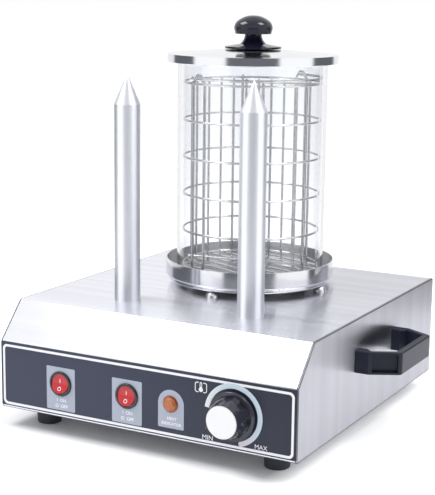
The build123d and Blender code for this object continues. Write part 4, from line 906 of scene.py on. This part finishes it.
arch_half, arch_height, arch_foot, arch_weld_out = 8.5, 11.0, 120.2, 1.2
arch_shoulder_bend, arch_top_bend, arch_angles = 3.0, 4.5, (66, 246)
arch_distance = sqrt(rod_circle**2 - arch_half**2)
for angle in arch_angles:
    out_x, out_y = cos(radians(angle)), sin(radians(angle))
    x, y, _ = at(angle, arch_distance, 0)
    first = (x + out_y * arch_half, y - out_x * arch_half)
    second = (x - out_y * arch_half, y + out_x * arch_half)
    basket_rods.append(([
        ((*first, arch_foot), 0), ((*first, top_ring), arch_shoulder_bend),
        ((x, y, top_ring + arch_height), arch_top_bend),
        ((*second, top_ring), arch_shoulder_bend), ((*second, arch_foot), 0),
    ], rod_wire))
    for leg_x, leg_y in (first, second):
        weld_x, weld_y = leg_x + out_x * arch_weld_out, leg_y + out_y * arch_weld_out
        basket_beads += [((weld_x, weld_y, z), weld_bead) for z in ring_heights[:-1]]
        basket_beads.append(((leg_x, leg_y, arch_foot + rod_wire), rod_wire))

bar_count, bar_pitch, bar_sunk, bar_angle = 8, 0.22 * ring_radius, 0.35, -20
bar_x, bar_y = cos(radians(bar_angle)), sin(radians(bar_angle))
bar_height = low_ring - ring_wire - bar_wire + bar_sunk
for i in range(bar_count):
    off = (i - (bar_count - 1) / 2) * bar_pitch
    half = sqrt(ring_radius**2 - off**2)
    x, y = -bar_y * off, pan_y + bar_x * off
    ends = [(x + side * bar_x * half, y + side * bar_y * half, bar_height) for side in (-1, 1)]
    basket_rods.append(straight(*ends, bar_wire))
    basket_beads += [(end, bar_wire) for end in ends]
basket_paths = wire_paths("basket_paths", basket_rods, basket_beads)
basket = grown("basket_wires", basket_paths, wire_work, wire_steel, {
    "Wire sides": wire_sides, "Bend steps": 8, "Rings": ring_count,
    "Ring radius": ring_radius / 1000, "Ring wire": ring_wire / 1000, "Ring pitch": ring_pitch / 1000,
    "Lowest ring": (0.0, pan_y / 1000, low_ring / 1000)})
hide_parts("wire_basket")
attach(basket, "basket")

grid_angle, grid_count, grid_pitch, grid_shift = 10, 10, 0.192 * ring_radius, 0.2
grid_weld_bead, grid_sunk, grid_lift, grid_play = 1.25, 0.35, 0.2, 0.3
grid_x, grid_y = cos(radians(grid_angle)), sin(radians(grid_angle))
grid_foot, grid_half = bar_height + bar_wire + grid_lift, ring_radius - ring_wire - grid_play
grid_top = rod_tip - bar_wire
grid_bars = [(z, -2 * bar_wire + grid_sunk) for z in (low_ring + 2 * rod_wire, top_ring)]
grid_rods, grid_beads = [], []
for i in range(grid_count):
    x, y, _ = at(grid_angle, (i - (grid_count - 1) / 2) * grid_pitch + grid_shift, 0)
    grid_rods.append(straight((x, y, grid_foot), (x, y, grid_top), bar_wire))
    grid_beads += [((x, y, grid_top), bar_wire), ((x, y, grid_foot + bar_wire), bar_wire)]
    for z, aside in grid_bars:
        grid_beads.append(((x - grid_y * aside / 2, y + grid_x * aside / 2, z), grid_weld_bead))
for z, aside in grid_bars:
    x, y = -grid_y * aside, pan_y + grid_x * aside
    ends = [(x + side * grid_x * grid_half, y + side * grid_y * grid_half, z) for side in (-1, 1)]
    grid_rods.append(straight(*ends, bar_wire))
    grid_beads += [(end, bar_wire) for end in ends]
divider_paths = wire_paths("divider_paths", grid_rods, grid_beads)
divider = grown("divider_wires", divider_paths, wire_work, wire_steel, {
    "Wire sides": wire_sides, "Bend steps": 2, "Rings": 0})
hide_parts("basket_divider")
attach(divider, "basket")

# Lid and its knob
# A spun stainless lid with a turned-down edge and a mushroom knob of black phenolic, which a
# screw from inside holds on.
lid_steel = spun("lid_steel", (0.80, 0.81, 0.835), 1500.0, 0.09, 0.18, 0.000004)[0]
use(lid_steel, "lid")
phenolic, phenolic_tree, phenolic_shader = finish("lid_knob_phenolic", (0.008, 0.009, 0.020), 0.0, 0.06)
rough_by(phenolic_tree, phenolic_shader, noise(phenolic_tree, 150.0, 3.0), 0.03, 0.08)
use(phenolic, "lid_knob")
